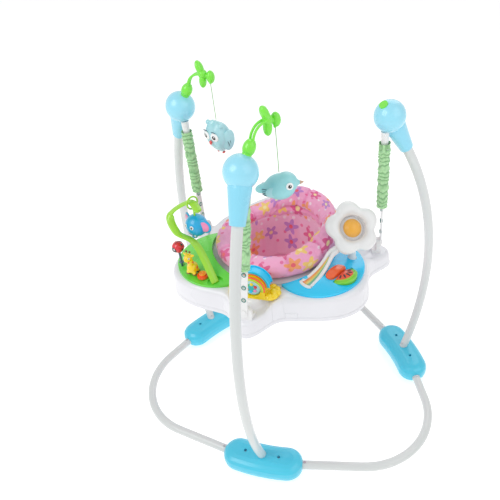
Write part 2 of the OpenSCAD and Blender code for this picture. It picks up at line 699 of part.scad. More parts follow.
// Leg holes: cells left open in the outer and the inner wall of the bag, with a hem between the walls
leg_spread = 64;
leg_at_share = 0.6;
leg_half = atan(leg_d / bag_r / 2 / leg_at_share);
leg_rows = 2;
function leg_open(j) = min([for (s = [-1, 1])
  abs(turn_between((j + 0.5) * 360 / seat_steps, seat_az + 180 + s * leg_spread))]) < leg_half;
function cell_open(i, j, n) = (i < leg_rows || i > n - 2 - leg_rows) && leg_open(j);
function split(q) = [[q[0], q[1], q[2]], [q[0], q[2], q[3]]];
function seat_faces(n) = let(m = seat_steps) concat(
  [for (i = [0:n - 2], j = [0:m - 1]) let(k = (j + 1) % m) if (!cell_open(i, j, n))
    each split([i * m + j, i * m + k, (i + 1) * m + k, (i + 1) * m + j])],
  cap_faces(n, m),
  [for (o = [0:leg_rows - 1], j = [0:m - 1]) let(k = (j + 1) % m, in = n - 1 - o) if (leg_open(j))
    each concat(
    leg_open((j + m - 1) % m) ? [] : split([(o + 1) * m + j, o * m + j, in * m + j, (in - 1) * m + j]),
    leg_open(k) ? [] : split([o * m + k, (o + 1) * m + k, (in - 1) * m + k, in * m + k]),
    o < leg_rows - 1 ? [] : split([(o + 1) * m + k, (o + 1) * m + j, (in - 1) * m + j, (in - 1)
      * m + k]),
    o > 0 ? [] : split([j, k, in * m + k, in * m + j]))]);

// Play panels: crescents round the seat, cut from a flat dome
panel_gap = 4;
panel_rim_h = 6;
panel_dome_r = (panel_r * panel_r + pow(panel_h - panel_rim_h, 2)) / (2 * (panel_h - panel_rim_h));
function panel_az(side) = side > 0 ? lobe_az : left_lobe_az;
function panel_c(side) = panel_at * dir(panel_az(side));
module panel(side) {
  hung() intersection() {
    translate([0, 0, tray_z]) linear_extrude(panel_h) difference() {
      translate(panel_c(side)) circle(r = panel_r, $fn = 96);
      circle(r = flange_r + panel_gap, $fn = 96);
      translate(peg_off(side > 0 ? right : left)) circle(r = peg_clear);
    }
    translate(concat(panel_c(side), tray_z + panel_h - panel_dome_r))
      sphere(r = panel_dome_r, $fn = 128);
  }
}
peg_clear = 34;
function panel_top(p, side) = tray_z + panel_h - panel_dome_r
  + sqrt(panel_dome_r * panel_dome_r - pow(norm(p - panel_c(side)), 2));
module stand(p) {
  hung() translate(p) children();
}

// Green station: a ribbon arch, and toys on posts
function lobe_point(side, along, out) = let(a = panel_az(side))
  panel_c(side) + out * dir(a) + side * along * dir(a + 90);
// The ribbon's places: shares of the panel's radius along and out, and of the arch's height
arch_along_shares = [-0.827, -0.231, -0.038, 0.288, 0.13, -0.2];
arch_out_shares = [0.346, 0.53, 0.86, 0.88, 0.45, 0.34];
arch_rise_shares = [0, 0.44, 0.64, 0.82, 1, 0.95];
arch_w = 18;
arch_t = 5;
arch_steps = 25;
arch_foot_z = tray_z + panel_rim_h;
function spline(v, s) = let(n = len(v) - 1, i = min(n - 1, floor(s * n)), f = s * n - i,
  a = v[max(0, i - 1)], b = v[i], c = v[i + 1], d = v[min(n, i + 2)])
  (2 * b + (c - a) * f + (2 * a - 5 * b + 4 * c - d) * f * f + (3 * b - a - 3 * c + d) * f * f * f) / 2;
function arch_at(s) = concat(lobe_point(-1, panel_r * spline(arch_along_shares, s),
  panel_r * spline(arch_out_shares, s)),
  arch_foot_z + arch_h * spline(arch_rise_shares, s));
arch_path = [for (i = [0:arch_steps]) arch_at(i / arch_steps)];
arch_foot = arch_at(0);
module green_arch() {
  color("yellowgreen") hung() difference() {
    sweep(arch_path, [0, 0, 1], arch_t / 2, arch_w / 2, 8);
    translate([0, 0, arch_foot_z - arch_w]) cylinder(r = 2 * panel_at, h = arch_w);
  }
}
module green_panel() {
  color("limegreen") difference() {
    panel(-1);
    hung() translate(arch_foot) cylinder(r = arch_w, h = panel_h);
    toy_seat(ladybird_p, collar_r);
    toy_seat(giraffe_p, giraffe_r);
    toy_seat(knob_p, knob_r);
  }
}
post_r = 3;
ladybird_along = 4;
ladybird_out = 94;
giraffe_along = -38;
giraffe_out = 76;
knob_along = -59;
knob_out = 58;
collar_r = 2 * post_r;
ladybird_p = lobe_point(-1, ladybird_along, ladybird_out);
giraffe_p = lobe_point(-1, giraffe_along, giraffe_out);
knob_p = lobe_point(-1, knob_along, knob_out);
// A flat seat with a post hole, so that a toy turns clear of the panel
module toy_seat(p, r) {
  stand(p) translate([0, 0, tray_z + panel_rim_h]) cylinder(r = post_r, h = panel_h);
  stand(p) translate([0, 0, panel_top(p, -1)]) cylinder(r = r + run, h = panel_h);
}
ladybird_up = 54;
ladybird_r = 14;
module toy_post(p, up) {
  stand(p) translate([0, 0, tray_z + panel_rim_h + touch])
    cylinder(r = post_r - touch, h = panel_top(p, -1) - tray_z - panel_rim_h + up);
}
module ladybird() {
  z = panel_top(ladybird_p, -1) + run;
  color("crimson") {
    toy_post(ladybird_p, ladybird_up);
    stand(ladybird_p) translate([0, 0, z + ladybird_up]) {
      sphere(r = ladybird_r);
      translate([ladybird_r * 0.3, 0, -ladybird_r * 0.9]) sphere(r = ladybird_r * 0.55);
    }
    stand(ladybird_p) translate([0, 0, z]) cylinder(r = collar_r, h = post_r);
  }
}
giraffe_h = 60;
giraffe_r = 14;
module giraffe() {
  z = panel_top(giraffe_p, -1) + run;
  color("gold") {
    toy_post(giraffe_p, post_r);
    stand(giraffe_p) translate([0, 0, z]) {
      rotate_extrude() polygon([[0, 0], [giraffe_r, 0], [giraffe_r, giraffe_h * 0.25],
        [giraffe_r * 0.7, giraffe_h * 0.45],
        [giraffe_r * 0.55, giraffe_h * 0.8], [0, giraffe_h * 0.85]]);
      translate([0, 0, giraffe_h * 0.85]) sphere(r = giraffe_r * 0.8);
      for (s = [-1, 1]) translate([s * giraffe_r * 0.4, 0, giraffe_h * 0.95])
        cylinder(r = giraffe_r * 0.14, h = giraffe_h * 0.16);
    }
  }
}
knob_r = 13;
knob_h = 9;
module knob() {
  z = panel_top(knob_p, -1) + run;
  color("orange") {
    toy_post(knob_p, post_r);
    stand(knob_p) translate([0, 0, z]) difference() {
      union() {
        cylinder(r = knob_r, h = knob_h * 0.6);
        cylinder(r = knob_r * 0.7, h = knob_h);
      }
      for (a = [0:30:330]) rotate(a) translate([knob_r, 0, -over])
        cylinder(r = knob_r * 0.12, h = knob_h + 2 * over);
    }
  }
}
// The elephant hangs from the top of the arch by a ring
hang_share = 0.84;
elephant_r = 26;
elephant_link = 20;
link_r = 2.5;
elephant_az = -115;
loop_r = arch_w / 2 + 3;
loop_wire = 4;
loop_at = arch_at(hang_share);
elephant_turn = elephant_az + 90;
loop_az = let(v = arch_at(hang_share + 0.05) - arch_at(hang_share - 0.05)) atan2(v[1], v[0]);
module elephant() {
  c = elephant_r + loop_r + elephant_link;
  color("deepskyblue") hung() translate(loop_at) {
    rotate([0, 90, loop_az]) rotate_extrude() translate([loop_r + loop_wire / 2, 0])
      circle(d = loop_wire, $fn = 24);
    translate([0, 0, -c]) cylinder(r = link_r, h = elephant_r + elephant_link - loop_wire / 2);
    translate([0, 0, -c]) rotate(elephant_turn) {
      rotate([0, 90, 0]) sphere(r = elephant_r);
      for (s = [-1, 1]) translate([s * elephant_r * 0.95, 0, elephant_r * 0.15]) rotate([90, 0, 0])
        translate([0, 0, -elephant_r * 0.12])
        cylinder(r = elephant_r * 0.6, h = elephant_r * 0.24);
      rotate([155, 0, 0]) cylinder(r1 = elephant_r * 0.45, r2 = elephant_r * 0.22,
        h = elephant_r * 1.35);
    }
  }
}

// Front toy: a little house with a turning drum, under a rainbow arch
house_r = 30;
house_d = 42;
house_base_w = 112;
house_base_h = 10;
house_gap = 4;
house_y = -flange_r - house_gap - house_d;
drum_r = house_r * 0.72;
drum_z = house_base_h + house_r * 0.62;
axle_r = 3;
module at_house() {
  hung() translate([0, house_y, tray_z]) children();
}
module front_toy() {
  color("gold") at_house() difference() {
    union() {
      linear_extrude(house_base_h) {
        translate([-house_base_w / 2 + house_d / 2, 0]) square([house_base_w - house_d, house_d]);
        for (s = [-1, 1]) translate([s * (house_base_w - house_d) / 2, house_d / 2])
          circle(d = house_d);
      }
      translate([0, house_d, drum_z]) rotate([90, 0, 0]) cylinder(r = house_r, h = house_d);
      translate([-house_r, 0, house_base_h - touch])
        cube([2 * house_r, house_d, drum_z - house_base_h]);
    }
    translate([0, house_d - tray_wall, drum_z]) rotate([90, 0, 0])
      cylinder(r = drum_r + run, h = house_d);
    translate([0, house_d + over, drum_z]) rotate([90, 0, 0]) cylinder(r = axle_r, h = house_d);
    translate([-house_base_w, -house_d, -house_r]) cube([2 * house_base_w, 3 * house_d, house_r]);
  }
}
module toy_drum() {
  color("turquoise") at_house() translate([0, house_d - tray_wall, drum_z]) rotate([90, 0, 0]) {
    translate([0, 0, run]) difference() {
      cylinder(r = drum_r, h = house_d - 3 * tray_wall);
      for (a = [0:60:300]) rotate(a) translate([drum_r * 0.62, 0, house_d - 4 * tray_wall])
        cylinder(r = drum_r * 0.2, h = house_d);
    }
    translate([0, 0, -tray_wall + touch]) cylinder(r = axle_r - touch, h = tray_wall + run);
  }
}
rainbow_t = 7;
module front_toy_arch() {
  color("dodgerblue") at_house() translate([0, house_d * 0.75, drum_z]) rotate([90, 0, 0]) difference()
    {
    cylinder(r = house_r + touch + rainbow_t, h = house_d / 2);
    translate([0, 0, -over]) cylinder(r = house_r + touch, h = house_d);
    translate([-house_base_w, -house_base_w, -over]) cube([2 * house_base_w, house_base_w, house_d]);
  }
}

// Blue station: push buttons, a rainbow ramp and a flower
button_along = -2;
button_out = 52;
button_p = lobe_point(1, button_along, button_out);
melon_along = 4;
melon_out = 66;
melon_p = lobe_point(1, melon_along, melon_out);
button_len = 56;
button_w = 22;
button_h = 12;
melon_r = 33;
button_az = lobe_az + 90;
melon_az = lobe_az + 90;
button_floor = 4;
module button_shape(grow) {
  for (s = [-1, 1]) translate([s * (button_len - button_w) / 2, 0]) circle(r = button_w / 2 + grow);
  square([button_len - button_w, button_w + 2 * grow], center = true);
}
module melon_shape(grow) {
  intersection() {
    circle(r = melon_r + grow);
    translate([-2 * melon_r, -2 * melon_r]) square([4 * melon_r, 2 * melon_r + grow]);
  }
}
module blue_panel() {
  color("deepskyblue") difference() {
    panel(1);
    stand(button_p) rotate(button_az) translate([0, 0, tray_z + button_floor]) linear_extrude(panel_h)
      button_shape(run);
    stand(melon_p) rotate(melon_az) translate([0, 0, tray_z + button_floor]) linear_extrude(panel_h)
      melon_shape(run);
    stand(stem_p) translate([0, 0, tray_z + button_floor]) cylinder(r = stem_r, h = panel_h);
    ramp_seat();
  }
}
button_up = button_floor + button_travel + run;
button_proud = 6;
module play_button() {
  color("orangered") stand(button_p) rotate(button_az) intersection() {
    translate([0, 0, tray_z + button_up]) linear_extrude(panel_h) button_shape(0);
    translate([0, 0, tray_z + panel_h + button_proud - button_len]) sphere(r = button_len, $fn = 96);
  }
}
module melon_button() {
  color("limegreen") stand(melon_p) rotate(melon_az) intersection() {
    translate([0, 0, tray_z + button_up]) linear_extrude(panel_h) melon_shape(0);
    translate([0, -melon_r / 2, tray_z + panel_h + button_proud / 2 - 2 * melon_r])
      sphere(r = 2 * melon_r, $fn = 96);
  }
}
// The ramp climbs from the panel's tip to the flower, between two rails
ramp_w = 36;
ramp_t = 4;
rail_r = 4;
ramp_bend_r = 104;
ramp_turn = 46;
ramp_taper = 6;
ramp_lead = 2;
ramp_along = -70;
ramp_out = 24;
ramp_p = lobe_point(1, ramp_along, ramp_out);
ramp_az = lobe_az + 88;
rail_at = ramp_w / 2 - rail_r;
module at_ramp() {
  stand(ramp_p) translate([0, 0, tray_z + panel_h / 2]) rotate(ramp_az) rotate([90, 0, 0]) children();
}
module ramp_bend(lead = 0) {
  translate([0, ramp_bend_r, 0]) rotate(-90 - lead)
    rotate_extrude(angle = ramp_turn + lead, $fn = 96) translate([ramp_bend_r, 0]) children();
}
// The plan of the ramp, which narrows as it climbs
module ramp_wedge(half) {
  narrow = half - ramp_bend_r * tan(ramp_taper);
  translate([-rail_r, -ramp_bend_r, 0]) rotate([-90, 0, 0]) linear_extrude(2 * ramp_bend_r)
    polygon([[0, -half], [ramp_bend_r, -narrow], [ramp_bend_r, narrow], [0, half]]);
}
module ramp() {
  color("white") at_ramp() {
    intersection() {
      ramp_bend() square([ramp_t, ramp_w], center = true);
      ramp_wedge(rail_at + touch);
    }
    for (s = [-1, 1]) translate([0, 0, s * rail_at]) rotate([0, s * ramp_taper, 0])
      ramp_bend() circle(r = rail_r, $fn = 24);
  }
}
module ramp_seat() {
  at_ramp() intersection() {
    ramp_bend(ramp_lead) square([2 * (rail_r + run), ramp_w + 2 * rail_r], center = true);
    ramp_wedge(rail_at + rail_r + 2 * run);
  }
}
// The flower leans back on a stem, with a lamp under a clear dome
stem_along = 67;
stem_out = 42;
stem_p = lobe_point(1, stem_along, stem_out);
stem_r = 9;
flower_az = -58;
flower_lean = 44;
flower_t = 14;
petals = 5;
petal_share = 0.42;
dome_r = 30;
lamp_r = 13;
module at_flower() {
  stand(stem_p) translate([0, 0, tray_z + flower_up]) rotate([0, 90 - flower_lean, flower_az])
    children();
}
module flower() {
  color("white") {
    difference() {
      at_flower() difference() {
        translate([0, 0, -flower_t / 2]) linear_extrude(flower_t) {
          circle(d = flower_d * (1 - petal_share));
          for (i = [0:petals - 1]) rotate((i + 0.5) * 360 / petals)
            translate([flower_d * (1 - petal_share) / 2, 0]) circle(d = flower_d * petal_share);
        }
        cylinder(r = dome_r, h = flower_t);
      }
    }
    difference() {
      stand(stem_p) translate([0, 0, tray_z + button_floor])
        cylinder(r = stem_r - touch, h = flower_up - button_floor);
      at_flower() translate([0, 0, -flower_t / 2]) cylinder(d = 2 * flower_d, h = flower_d);
    }
  }
}
module flower_lamp() {
  color("orange") at_flower() intersection() {
    cylinder(r = dome_r - tray_wall, h = lamp_r);
    translate([0, 0, lamp_r * 0.8 - 2 * lamp_r]) sphere(r = 2 * lamp_r);
  }
}
dome_wall = 1.5;
module flower_dome() {
  color("azure", 0.4) at_flower() difference() {
    union() {
      sphere(r = dome_r - touch);
    }
    sphere(r = dome_r - dome_wall);
    translate([0, 0, -dome_r]) cylinder(r = 2 * dome_r, h = dome_r);
  }
}

// Toy arms: a plug, two bowed rods and a cluster of leaves over the string
plug_tilt = 32;
plug_r = 9;
plug_seat = ball_d / 2 - 12;
plug_out = 20;
rod_d = 5;
rod_gap = 9;
leaf_l = 28;
leaf_w = 14;
leaf_turns = [-20, 110, 185];
function string_len(k) = k == front ? front_string_l : string_l;
function arm_turn(k) = k == front ? front_arm_turn : k == left ? left_arm_turn : 0;
module at_plug(k) {
  framed() translate(ball_at(k)) rotate(lean_az(k) + 180 + arm_turn(k)) rotate([0, plug_tilt, 0])
    children();
}
rod_from_x = (ball_d / 2 + plug_out) * sin(plug_tilt);
rod_from_z = (ball_d / 2 + plug_out) * cos(plug_tilt);
rod_r = arm_rise - rod_from_z;
leaf_at = [rod_from_x + rod_r + leaf_l / 4, arm_rise - rod_d / 2];
// A thick round leaf that swells from its stalk
module leaf() {
  cylinder(r1 = leaf_w * 0.2, r2 = leaf_w / 2, h = leaf_l - leaf_w / 2);
  translate([0, 0, leaf_l - leaf_w / 2]) sphere(r = leaf_w / 2);
}
module at_arm(k) {
  framed() translate(ball_at(k)) rotate(lean_az(k) + 180 + arm_turn(k)) children();
}
eye_r = 4;
eye_drop = rod_from_z * 0.12;
module toy_arm(k) {
  color("lawngreen") {
    at_plug(k) {
      translate([0, 0, plug_seat + touch]) cylinder(r = plug_r,
        h = ball_d / 2 - plug_seat + plug_out * 0.4);
      translate([0, 0, ball_d / 2 + plug_out * 0.3])
        cylinder(r1 = plug_r * 1.2, r2 = plug_r * 0.8, h = plug_out);
    }
    at_arm(k) {
      for (s = [-1, 1]) translate([rod_from_x + rod_r, s * rod_gap / 2, rod_from_z]) rotate([90, 0, 0])
        rotate(90)
        rotate_extrude(angle = 98, $fn = 96) translate([rod_r - rod_d / 2, 0])
          circle(d = rod_d, $fn = 24);
      translate([leaf_at[0], 0, leaf_at[1]]) {
        for (a = leaf_turns) rotate([0, a, 0]) leaf();
        sphere(r = leaf_w * 0.7);
      }
      translate([arm_reach, 0, string_top]) rotate([90, 0, 0]) rotate_extrude()
        translate([eye_r - rod_d / 4, 0]) circle(d = rod_d / 2, $fn = 16);
      translate([leaf_at[0], 0, leaf_at[1]])
        rotate([0, 90 + atan2(leaf_at[1] - string_top - eye_r, arm_reach - leaf_at[0]), 0])
        cylinder(d = rod_d, h = norm([arm_reach - leaf_at[0], leaf_at[1] - string_top - eye_r]));
    }
  }
}
string_top = leaf_at[1] - leaf_l * 0.6;
module toy_arm_front() { toy_arm(front); }
module toy_arm_left() { toy_arm(left); }
module arm_plug() {
  color("lawngreen") at_plug(right) {
    translate([0, 0, plug_seat + touch]) cylinder(r = plug_r,
      h = ball_d / 2 - plug_seat + plug_out * 0.1);
  }
}

// Hanging toys on thin strings
string_d = 1.6;
string_from = -eye_r - run;
string_share = [0, 0.25, 0.5, 0.75, 1];
module toy_string(k) {
  path = [for (s = string_share) [arm_reach, 0, string_top + string_from - s * string_len(k)]];
  color("palegreen") at_arm(k) sweep(path, [1, 0, 0], string_d / 2, string_d / 2, 8);
}
module owl_string() { toy_string(left); }
module bird_string() { toy_string(front); }
module at_toy(k) {
  at_arm(k) translate([arm_reach, 0, string_top + string_from - string_len(k) - touch]) children();
}
owl_h = 80;
owl_w = 66;
owl_d = 52;
owl_steps = 10;
module owl() {
  color("paleturquoise") at_toy(left) rotate(owl_az) translate([0, 0, -owl_h]) {
    difference() {
      rotate_extrude($fn = 48) polygon([for (i = [0:owl_steps]) let(t = i / owl_steps)
        [owl_d / 2 * pow(sin(180 * pow(t, 0.8)), 0.6), owl_h * t]]);
    }
    for (s = [-1, 1]) {
      translate([s * owl_w * 0.34, 0, owl_h * 0.62]) rotate([0, s * 165, 0]) rotate_extrude($fn = 32)
        polygon([for (i = [0:owl_steps]) let(t = i / owl_steps)
          [owl_d * 0.2 * pow(sin(180 * t), 0.8), owl_h * 0.5 * t]]);
      translate([s * owl_w * 0.2, -owl_d * 0.3, owl_h * 0.62]) rotate([90, 0, 0])
        cylinder(r = owl_w * 0.16, h = owl_d * 0.16);
    }
  }
}
owl_az = 22;
bird_l = 92;
bird_h = 58;
bird_az = -36;
module bird() {
  color("paleturquoise") at_toy(front) rotate(bird_az) translate([0, 0, -bird_h / 2 - touch]) {
    sphere(r = bird_h / 2);
    translate([-bird_l * 0.22, 0, -bird_h * 0.02]) rotate([0, -78, 0])
      cylinder(r1 = bird_h * 0.38, r2 = bird_h * 0.1, h = bird_l * 0.36);
    translate([bird_h * 0.42, 0, bird_h * 0.02]) rotate([0, 90, 0])
      cylinder(r1 = bird_h * 0.2, r2 = bird_h * 0.03, h = bird_l * 0.14);
  }
}

base_tube_left();
base_tube_right();
base_tube_back();
foot_cover_front();
foot_cover_right();
foot_cover_left();
foot_base_front();
foot_base_right();
foot_base_left();
foot_pads();
foot_screws();
snap_buttons();
upright_front();
upright_right();
upright_left();
head_socket_front();
head_socket_right();
head_socket_left();
head_ball_front();
head_ball_right();
head_ball_left();
spring_hangers();
spring_front();
spring_right();
spring_left();
sleeve_front();
sleeve_right();
sleeve_left();
toy_arm_front();
toy_arm_left();
arm_plug();
strap_front();
strap_right();
strap_left();
strap_brackets();
tray_top();
tray_base();
green_panel();
green_arch();
front_toy();
front_toy_arch();
blue_panel();
ramp();
flower();
flower_lamp();
flower_dome();
seat_ring();
seat_retainer();
seat_pad();
elephant();
ladybird();
giraffe();
knob();
toy_drum();
play_button();
melon_button();
owl();
owl_string();
bird();
bird_string();
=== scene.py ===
import math

import bmesh
import bpy
import numpy as np
from mathutils import Matrix, Vector, noise


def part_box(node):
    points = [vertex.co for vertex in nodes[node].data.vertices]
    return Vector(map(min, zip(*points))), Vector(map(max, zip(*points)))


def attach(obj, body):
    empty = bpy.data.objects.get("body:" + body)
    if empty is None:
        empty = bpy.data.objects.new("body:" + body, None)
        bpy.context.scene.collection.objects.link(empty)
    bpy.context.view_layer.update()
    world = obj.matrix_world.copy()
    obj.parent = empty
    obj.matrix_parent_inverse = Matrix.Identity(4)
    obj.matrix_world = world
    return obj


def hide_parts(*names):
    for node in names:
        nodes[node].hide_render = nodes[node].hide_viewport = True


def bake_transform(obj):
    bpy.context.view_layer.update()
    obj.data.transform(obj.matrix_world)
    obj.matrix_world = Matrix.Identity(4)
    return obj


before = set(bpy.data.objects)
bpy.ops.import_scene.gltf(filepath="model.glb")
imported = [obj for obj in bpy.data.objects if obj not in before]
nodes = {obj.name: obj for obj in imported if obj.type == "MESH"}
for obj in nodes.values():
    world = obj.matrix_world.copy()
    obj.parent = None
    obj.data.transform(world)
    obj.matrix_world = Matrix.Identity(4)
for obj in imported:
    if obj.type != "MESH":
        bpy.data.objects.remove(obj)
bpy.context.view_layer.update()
mm = 0.001
fullTurn = 2 * math.pi
sides = ("front", "right", "left")
still = Matrix.Identity(4)
skyward = Vector((0, 0, 1))
white = (1, 1, 1, 1)
seatLow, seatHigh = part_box("seat_ring")
trayAxis = (seatLow + seatHigh) / 2  # the seat turns about this line
print("frame loaded:", len(nodes), "nodes")


# socket maths: a wrapped socket can be used in Python expressions
class Sock:
    def __init__(self, graph, socket):
        self.graph, self.socket = graph, socket

    def calc(self, operation, *others):
        ins = dict(enumerate((self, *others)))
        return self.graph.add("ShaderNodeMath", {"operation": operation}, ins)

    def __add__(self, other):
        return self.calc("ADD", other)

    def __sub__(self, other):
        return self.calc("SUBTRACT", other)

    def __rsub__(self, other):
        return self.graph.add("ShaderNodeMath", {"operation": "SUBTRACT"}, {0: other, 1: self})

    def __mul__(self, other):
        return self.calc("MULTIPLY", other)

    __radd__, __rmul__ = __add__, __mul__

    def over(self, low, high):  # 0 below low, 1 above high, smooth between
        return self.graph.add("ShaderNodeMapRange", {"interpolation_type": "SMOOTHSTEP"},
                              {"Value": self, "From Min": low, "From Max": high})

    def above(self, level):  # a hard step
        return self.over(level, level + 0.001)


class Graph:  # adds nodes to a tree, fed with plain values or wrapped sockets
    def __init__(self, tree):
        self.tree = tree

    def add(self, kind, settings=None, ins=None, out=0):
        node = self.tree.nodes.new(kind)
        for key, value in (settings or {}).items():
            setattr(node, key, value)
        for key, value in (ins or {}).items():
            self.feed(node.inputs[key], value)
        return Sock(self, node.outputs[out]) if node.outputs else None

    def feed(self, socket, value):
        if isinstance(value, Sock):
            self.tree.links.new(value.socket, socket)
        else:
            socket.default_value = value


class Recipe(Graph):
    def __init__(self, name):
        self.mat = bpy.data.materials.new(name)
        self.mat.use_nodes = True
        super().__init__(self.mat.node_tree)
        self.shader = self.tree.nodes["Principled BSDF"]

    def give(self, **ins):
        for key, value in ins.items():
            self.feed(self.shader.inputs[key.replace("_", " ")], value)

    def mix(self, factor, a, b):
        return self.add("ShaderNodeMix", {"data_type": "RGBA"}, {"Factor": factor, 6: a, 7: b}, out=2)

    def noise(self, scale, detail, rough=0.5):
        where = self.add("ShaderNodeTexCoord", out="Object")
        return self.add("ShaderNodeTexNoise", None,
                        {"Vector": where, "Scale": scale, "Detail": detail, "Roughness": rough})

    def bump(self, height, distance, strength):
        return self.add("ShaderNodeBump", None,
                        {"Height": height, "Distance": distance, "Strength": strength})

    def cloth(self):
        return self.add("ShaderNodeUVMap", {"uv_map": "cloth"})

    # reads the painted shade stored on a cloth mesh as its 'fold' attribute
    def fold(self):
        return self.add("ShaderNodeAttribute", {"attribute_name": "fold"}, out="Fac")

    def axes(self, where):
        return [self.add("ShaderNodeSeparateXYZ", None, {"Vector": where}, out=i) for i in range(3)]


def rgb(code, lift=1.0):  # a screen colour as the shader's linear colour
    parts = [int(code[i:i + 2], 16) / 255 for i in (0, 2, 4)]
    linear = [c / 12.92 if c < 0.04045 else ((c + 0.055) / 1.055) ** 2.4 for c in parts]
    return (*(min(1, lift * c) for c in linear), 1)


plasticLook = {"drift": 7.0, "driftShare": 0.05, "driftRough": 0.1, "grain": 1400.0, "grainDepth": 0.00012,
               "grainBump": 0.35, "scuffs": 46.0, "scuffFrom": 0.62, "scuffTo": 0.8, "scuffTint": 0.05,
               "scuffRough": 0.12, "scuffCoat": 0.5, "coatRough": 0.12, "worn": (0.9, 0.9, 0.9, 1)}


def plastic(name, code, rough, coat):
    r, c = Recipe(name), plasticLook
    drift = r.noise(c["drift"], 3)
    grain = r.noise(c["grain"], 1)
    scuff = r.noise(c["scuffs"], 5, 0.7).over(c["scuffFrom"], c["scuffTo"])
    colour = r.mix(drift, rgb(code, 1 - c["driftShare"]), rgb(code, 1 + c["driftShare"]))
    shine = drift * c["driftRough"] + scuff * c["scuffRough"] + (rough - c["driftRough"] / 2)
    r.give(Base_Color=r.mix(scuff * c["scuffTint"], colour, c["worn"]), Roughness=shine,
           Coat_Weight=coat * (1.0 - c["scuffCoat"] * scuff), Coat_Roughness=c["coatRough"],
           Normal=r.bump(grain, c["grainDepth"], c["grainBump"]))
    return r.mat


# powder-coated steel: fine orange peel, a few worn specks
tubeLook = {"code": "DCE0DF", "worn": "9A9C9C", "peel": 620, "drift": 5, "specks": 210, "speckFrom": 0.8,
            "speckTo": 0.84, "speckTint": 0.35, "rough": 0.26, "peelRough": 0.14, "coat": 0.4,
            "speckCoat": 0.2, "depth": 0.0002, "bump": 0.3}


def powderTube(name):
    r, c = Recipe(name), tubeLook
    peel = r.noise(c["peel"], 2)
    drift = r.noise(c["drift"], 3)
    specks = r.noise(c["specks"], 1).over(c["speckFrom"], c["speckTo"])
    colour = r.mix(drift, rgb(c["code"], 0.96), rgb(c["code"], 1.03))
    r.give(Base_Color=r.mix(specks * c["speckTint"], colour, rgb(c["worn"])),
           Roughness=c["rough"] + c["peelRough"] * peel, Coat_Weight=c["coat"] - c["speckCoat"] * specks,
           Normal=r.bump(peel, c["depth"], c["bump"]))
    return r.mat


rubberLook = {"code": "2A2A2C", "speckle": 900, "rough": 0.72, "vary": 0.15, "depth": 0.0003, "bump": 0.5}


def rubber(name):
    r, c = Recipe(name), rubberLook
    speckle = r.noise(c["speckle"], 3)
    r.give(Base_Color=r.mix(speckle, rgb(c["code"], 0.8), rgb(c["code"], 1.3)),
           Roughness=c["rough"] + c["vary"] * speckle, Normal=r.bump(speckle, c["depth"], c["bump"]))
    return r.mat


steelLook = {"dark": "A9ADB2", "light": "C9CCD0", "cloud": 160, "rough": 0.24, "vary": 0.2}


def zincSteel(name):
    r, c = Recipe(name), steelLook
    cloud = r.noise(c["cloud"], 3)
    r.give(Base_Color=r.mix(cloud, rgb(c["dark"]), rgb(c["light"])), Metallic=1.0,
           Roughness=c["rough"] + c["vary"] * cloud)
    return r.mat


def woven(r, c, uv, fibre, colour):  # over-and-under threads, fuzz and a soft sheen
    x, y, _ = r.axes(uv)
    threads = (x * c["threads"]).calc("SINE") * (y * c["threads"]).calc("SINE")
    r.give(Base_Color=r.mix(fibre * c["fuzz"], colour, rgb(c["fuzzInk"])),
           Roughness=c["rough"] + c["vary"] * fibre, Sheen_Weight=c["sheen"],
           Normal=r.bump(threads * 0.5 + fibre, c["depth"], c["bump"]))
    return r.mat


# thin cotton of the spring sleeves, with painted shade: darker in its folds between the gathers, lighter on
# the crests
sleeveLook = {"code": "B4E8AA", "dark": "5C9E5C", "fuzzInk": "E4F2DC", "fuzz": 0.16, "fibre": 700,
              "threads": 5200.0, "rough": 0.82, "vary": 0.1, "sheen": 0.3, "depth": 0.0004, "bump": 0.5}


def gatherCloth(name):
    r, c = Recipe(name), sleeveLook
    # painted shade: the fold mask mixes from the dark shade colour to the cloth colour
    colour = r.mix(r.fold(), rgb(c["dark"]), rgb(c["code"]))
    return woven(r, c, r.cloth(), r.noise(c["fibre"], 3), colour)


# the seat's print: flowers with hearts, and dots between them
seatLook = {"flowers": 20.0, "flowerSpread": 0.55, "flowersLeftOut": 0.12, "petals": 5.0, "petalReach": 0.28,
            "petalWave": 0.1, "petalTurn": 6.0, "petalEdge": 0.03, "petalInk": 0.9, "heartFrom": 0.09,
            "heartTo": 0.115, "dots": 46.0, "dotSpread": 0.5, "dotReach": 0.2, "dotEdge": 0.03,
            "dotsLeftOut": 0.4, "dotFree": (0.3, 0.4), "dotInk": 0.8, "cloud": 14,
            "inks": ("FF8A4A", "FFD65C", "E8478F", "C07FD2", "FFA24A"), "hearts": ("FFE9A8", "F2586A"),
            "dotInks": ("FFF0F6", "F05A9C"), "fuzzInk": "FFE9F3", "fuzz": 0.1, "fibre": 800,
            "threads": 6200.0, "rough": 0.8, "vary": 0.12, "sheen": 0.35, "depth": 0.0004, "bump": 0.45}


def scatter(r, uv, scale, spread):  # random cells: distance and angle from each middle, and random numbers
    node = r.tree.nodes.new("ShaderNodeTexVoronoi")
    node.voronoi_dimensions = "2D"
    for key, value in (("Vector", uv), ("Scale", scale), ("Randomness", spread)):
        r.feed(node.inputs[key], value)
    middle = Sock(r, node.outputs["Position"])
    offset = r.add("ShaderNodeVectorMath", {"operation": "SUBTRACT"}, {0: uv, 1: middle})
    x, y, _ = r.axes(offset)
    reach = r.add("ShaderNodeVectorMath", {"operation": "LENGTH"}, {0: offset}, out="Value") * scale
    return reach, y.calc("ARCTAN2", x), r.axes(Sock(r, node.outputs["Color"]))


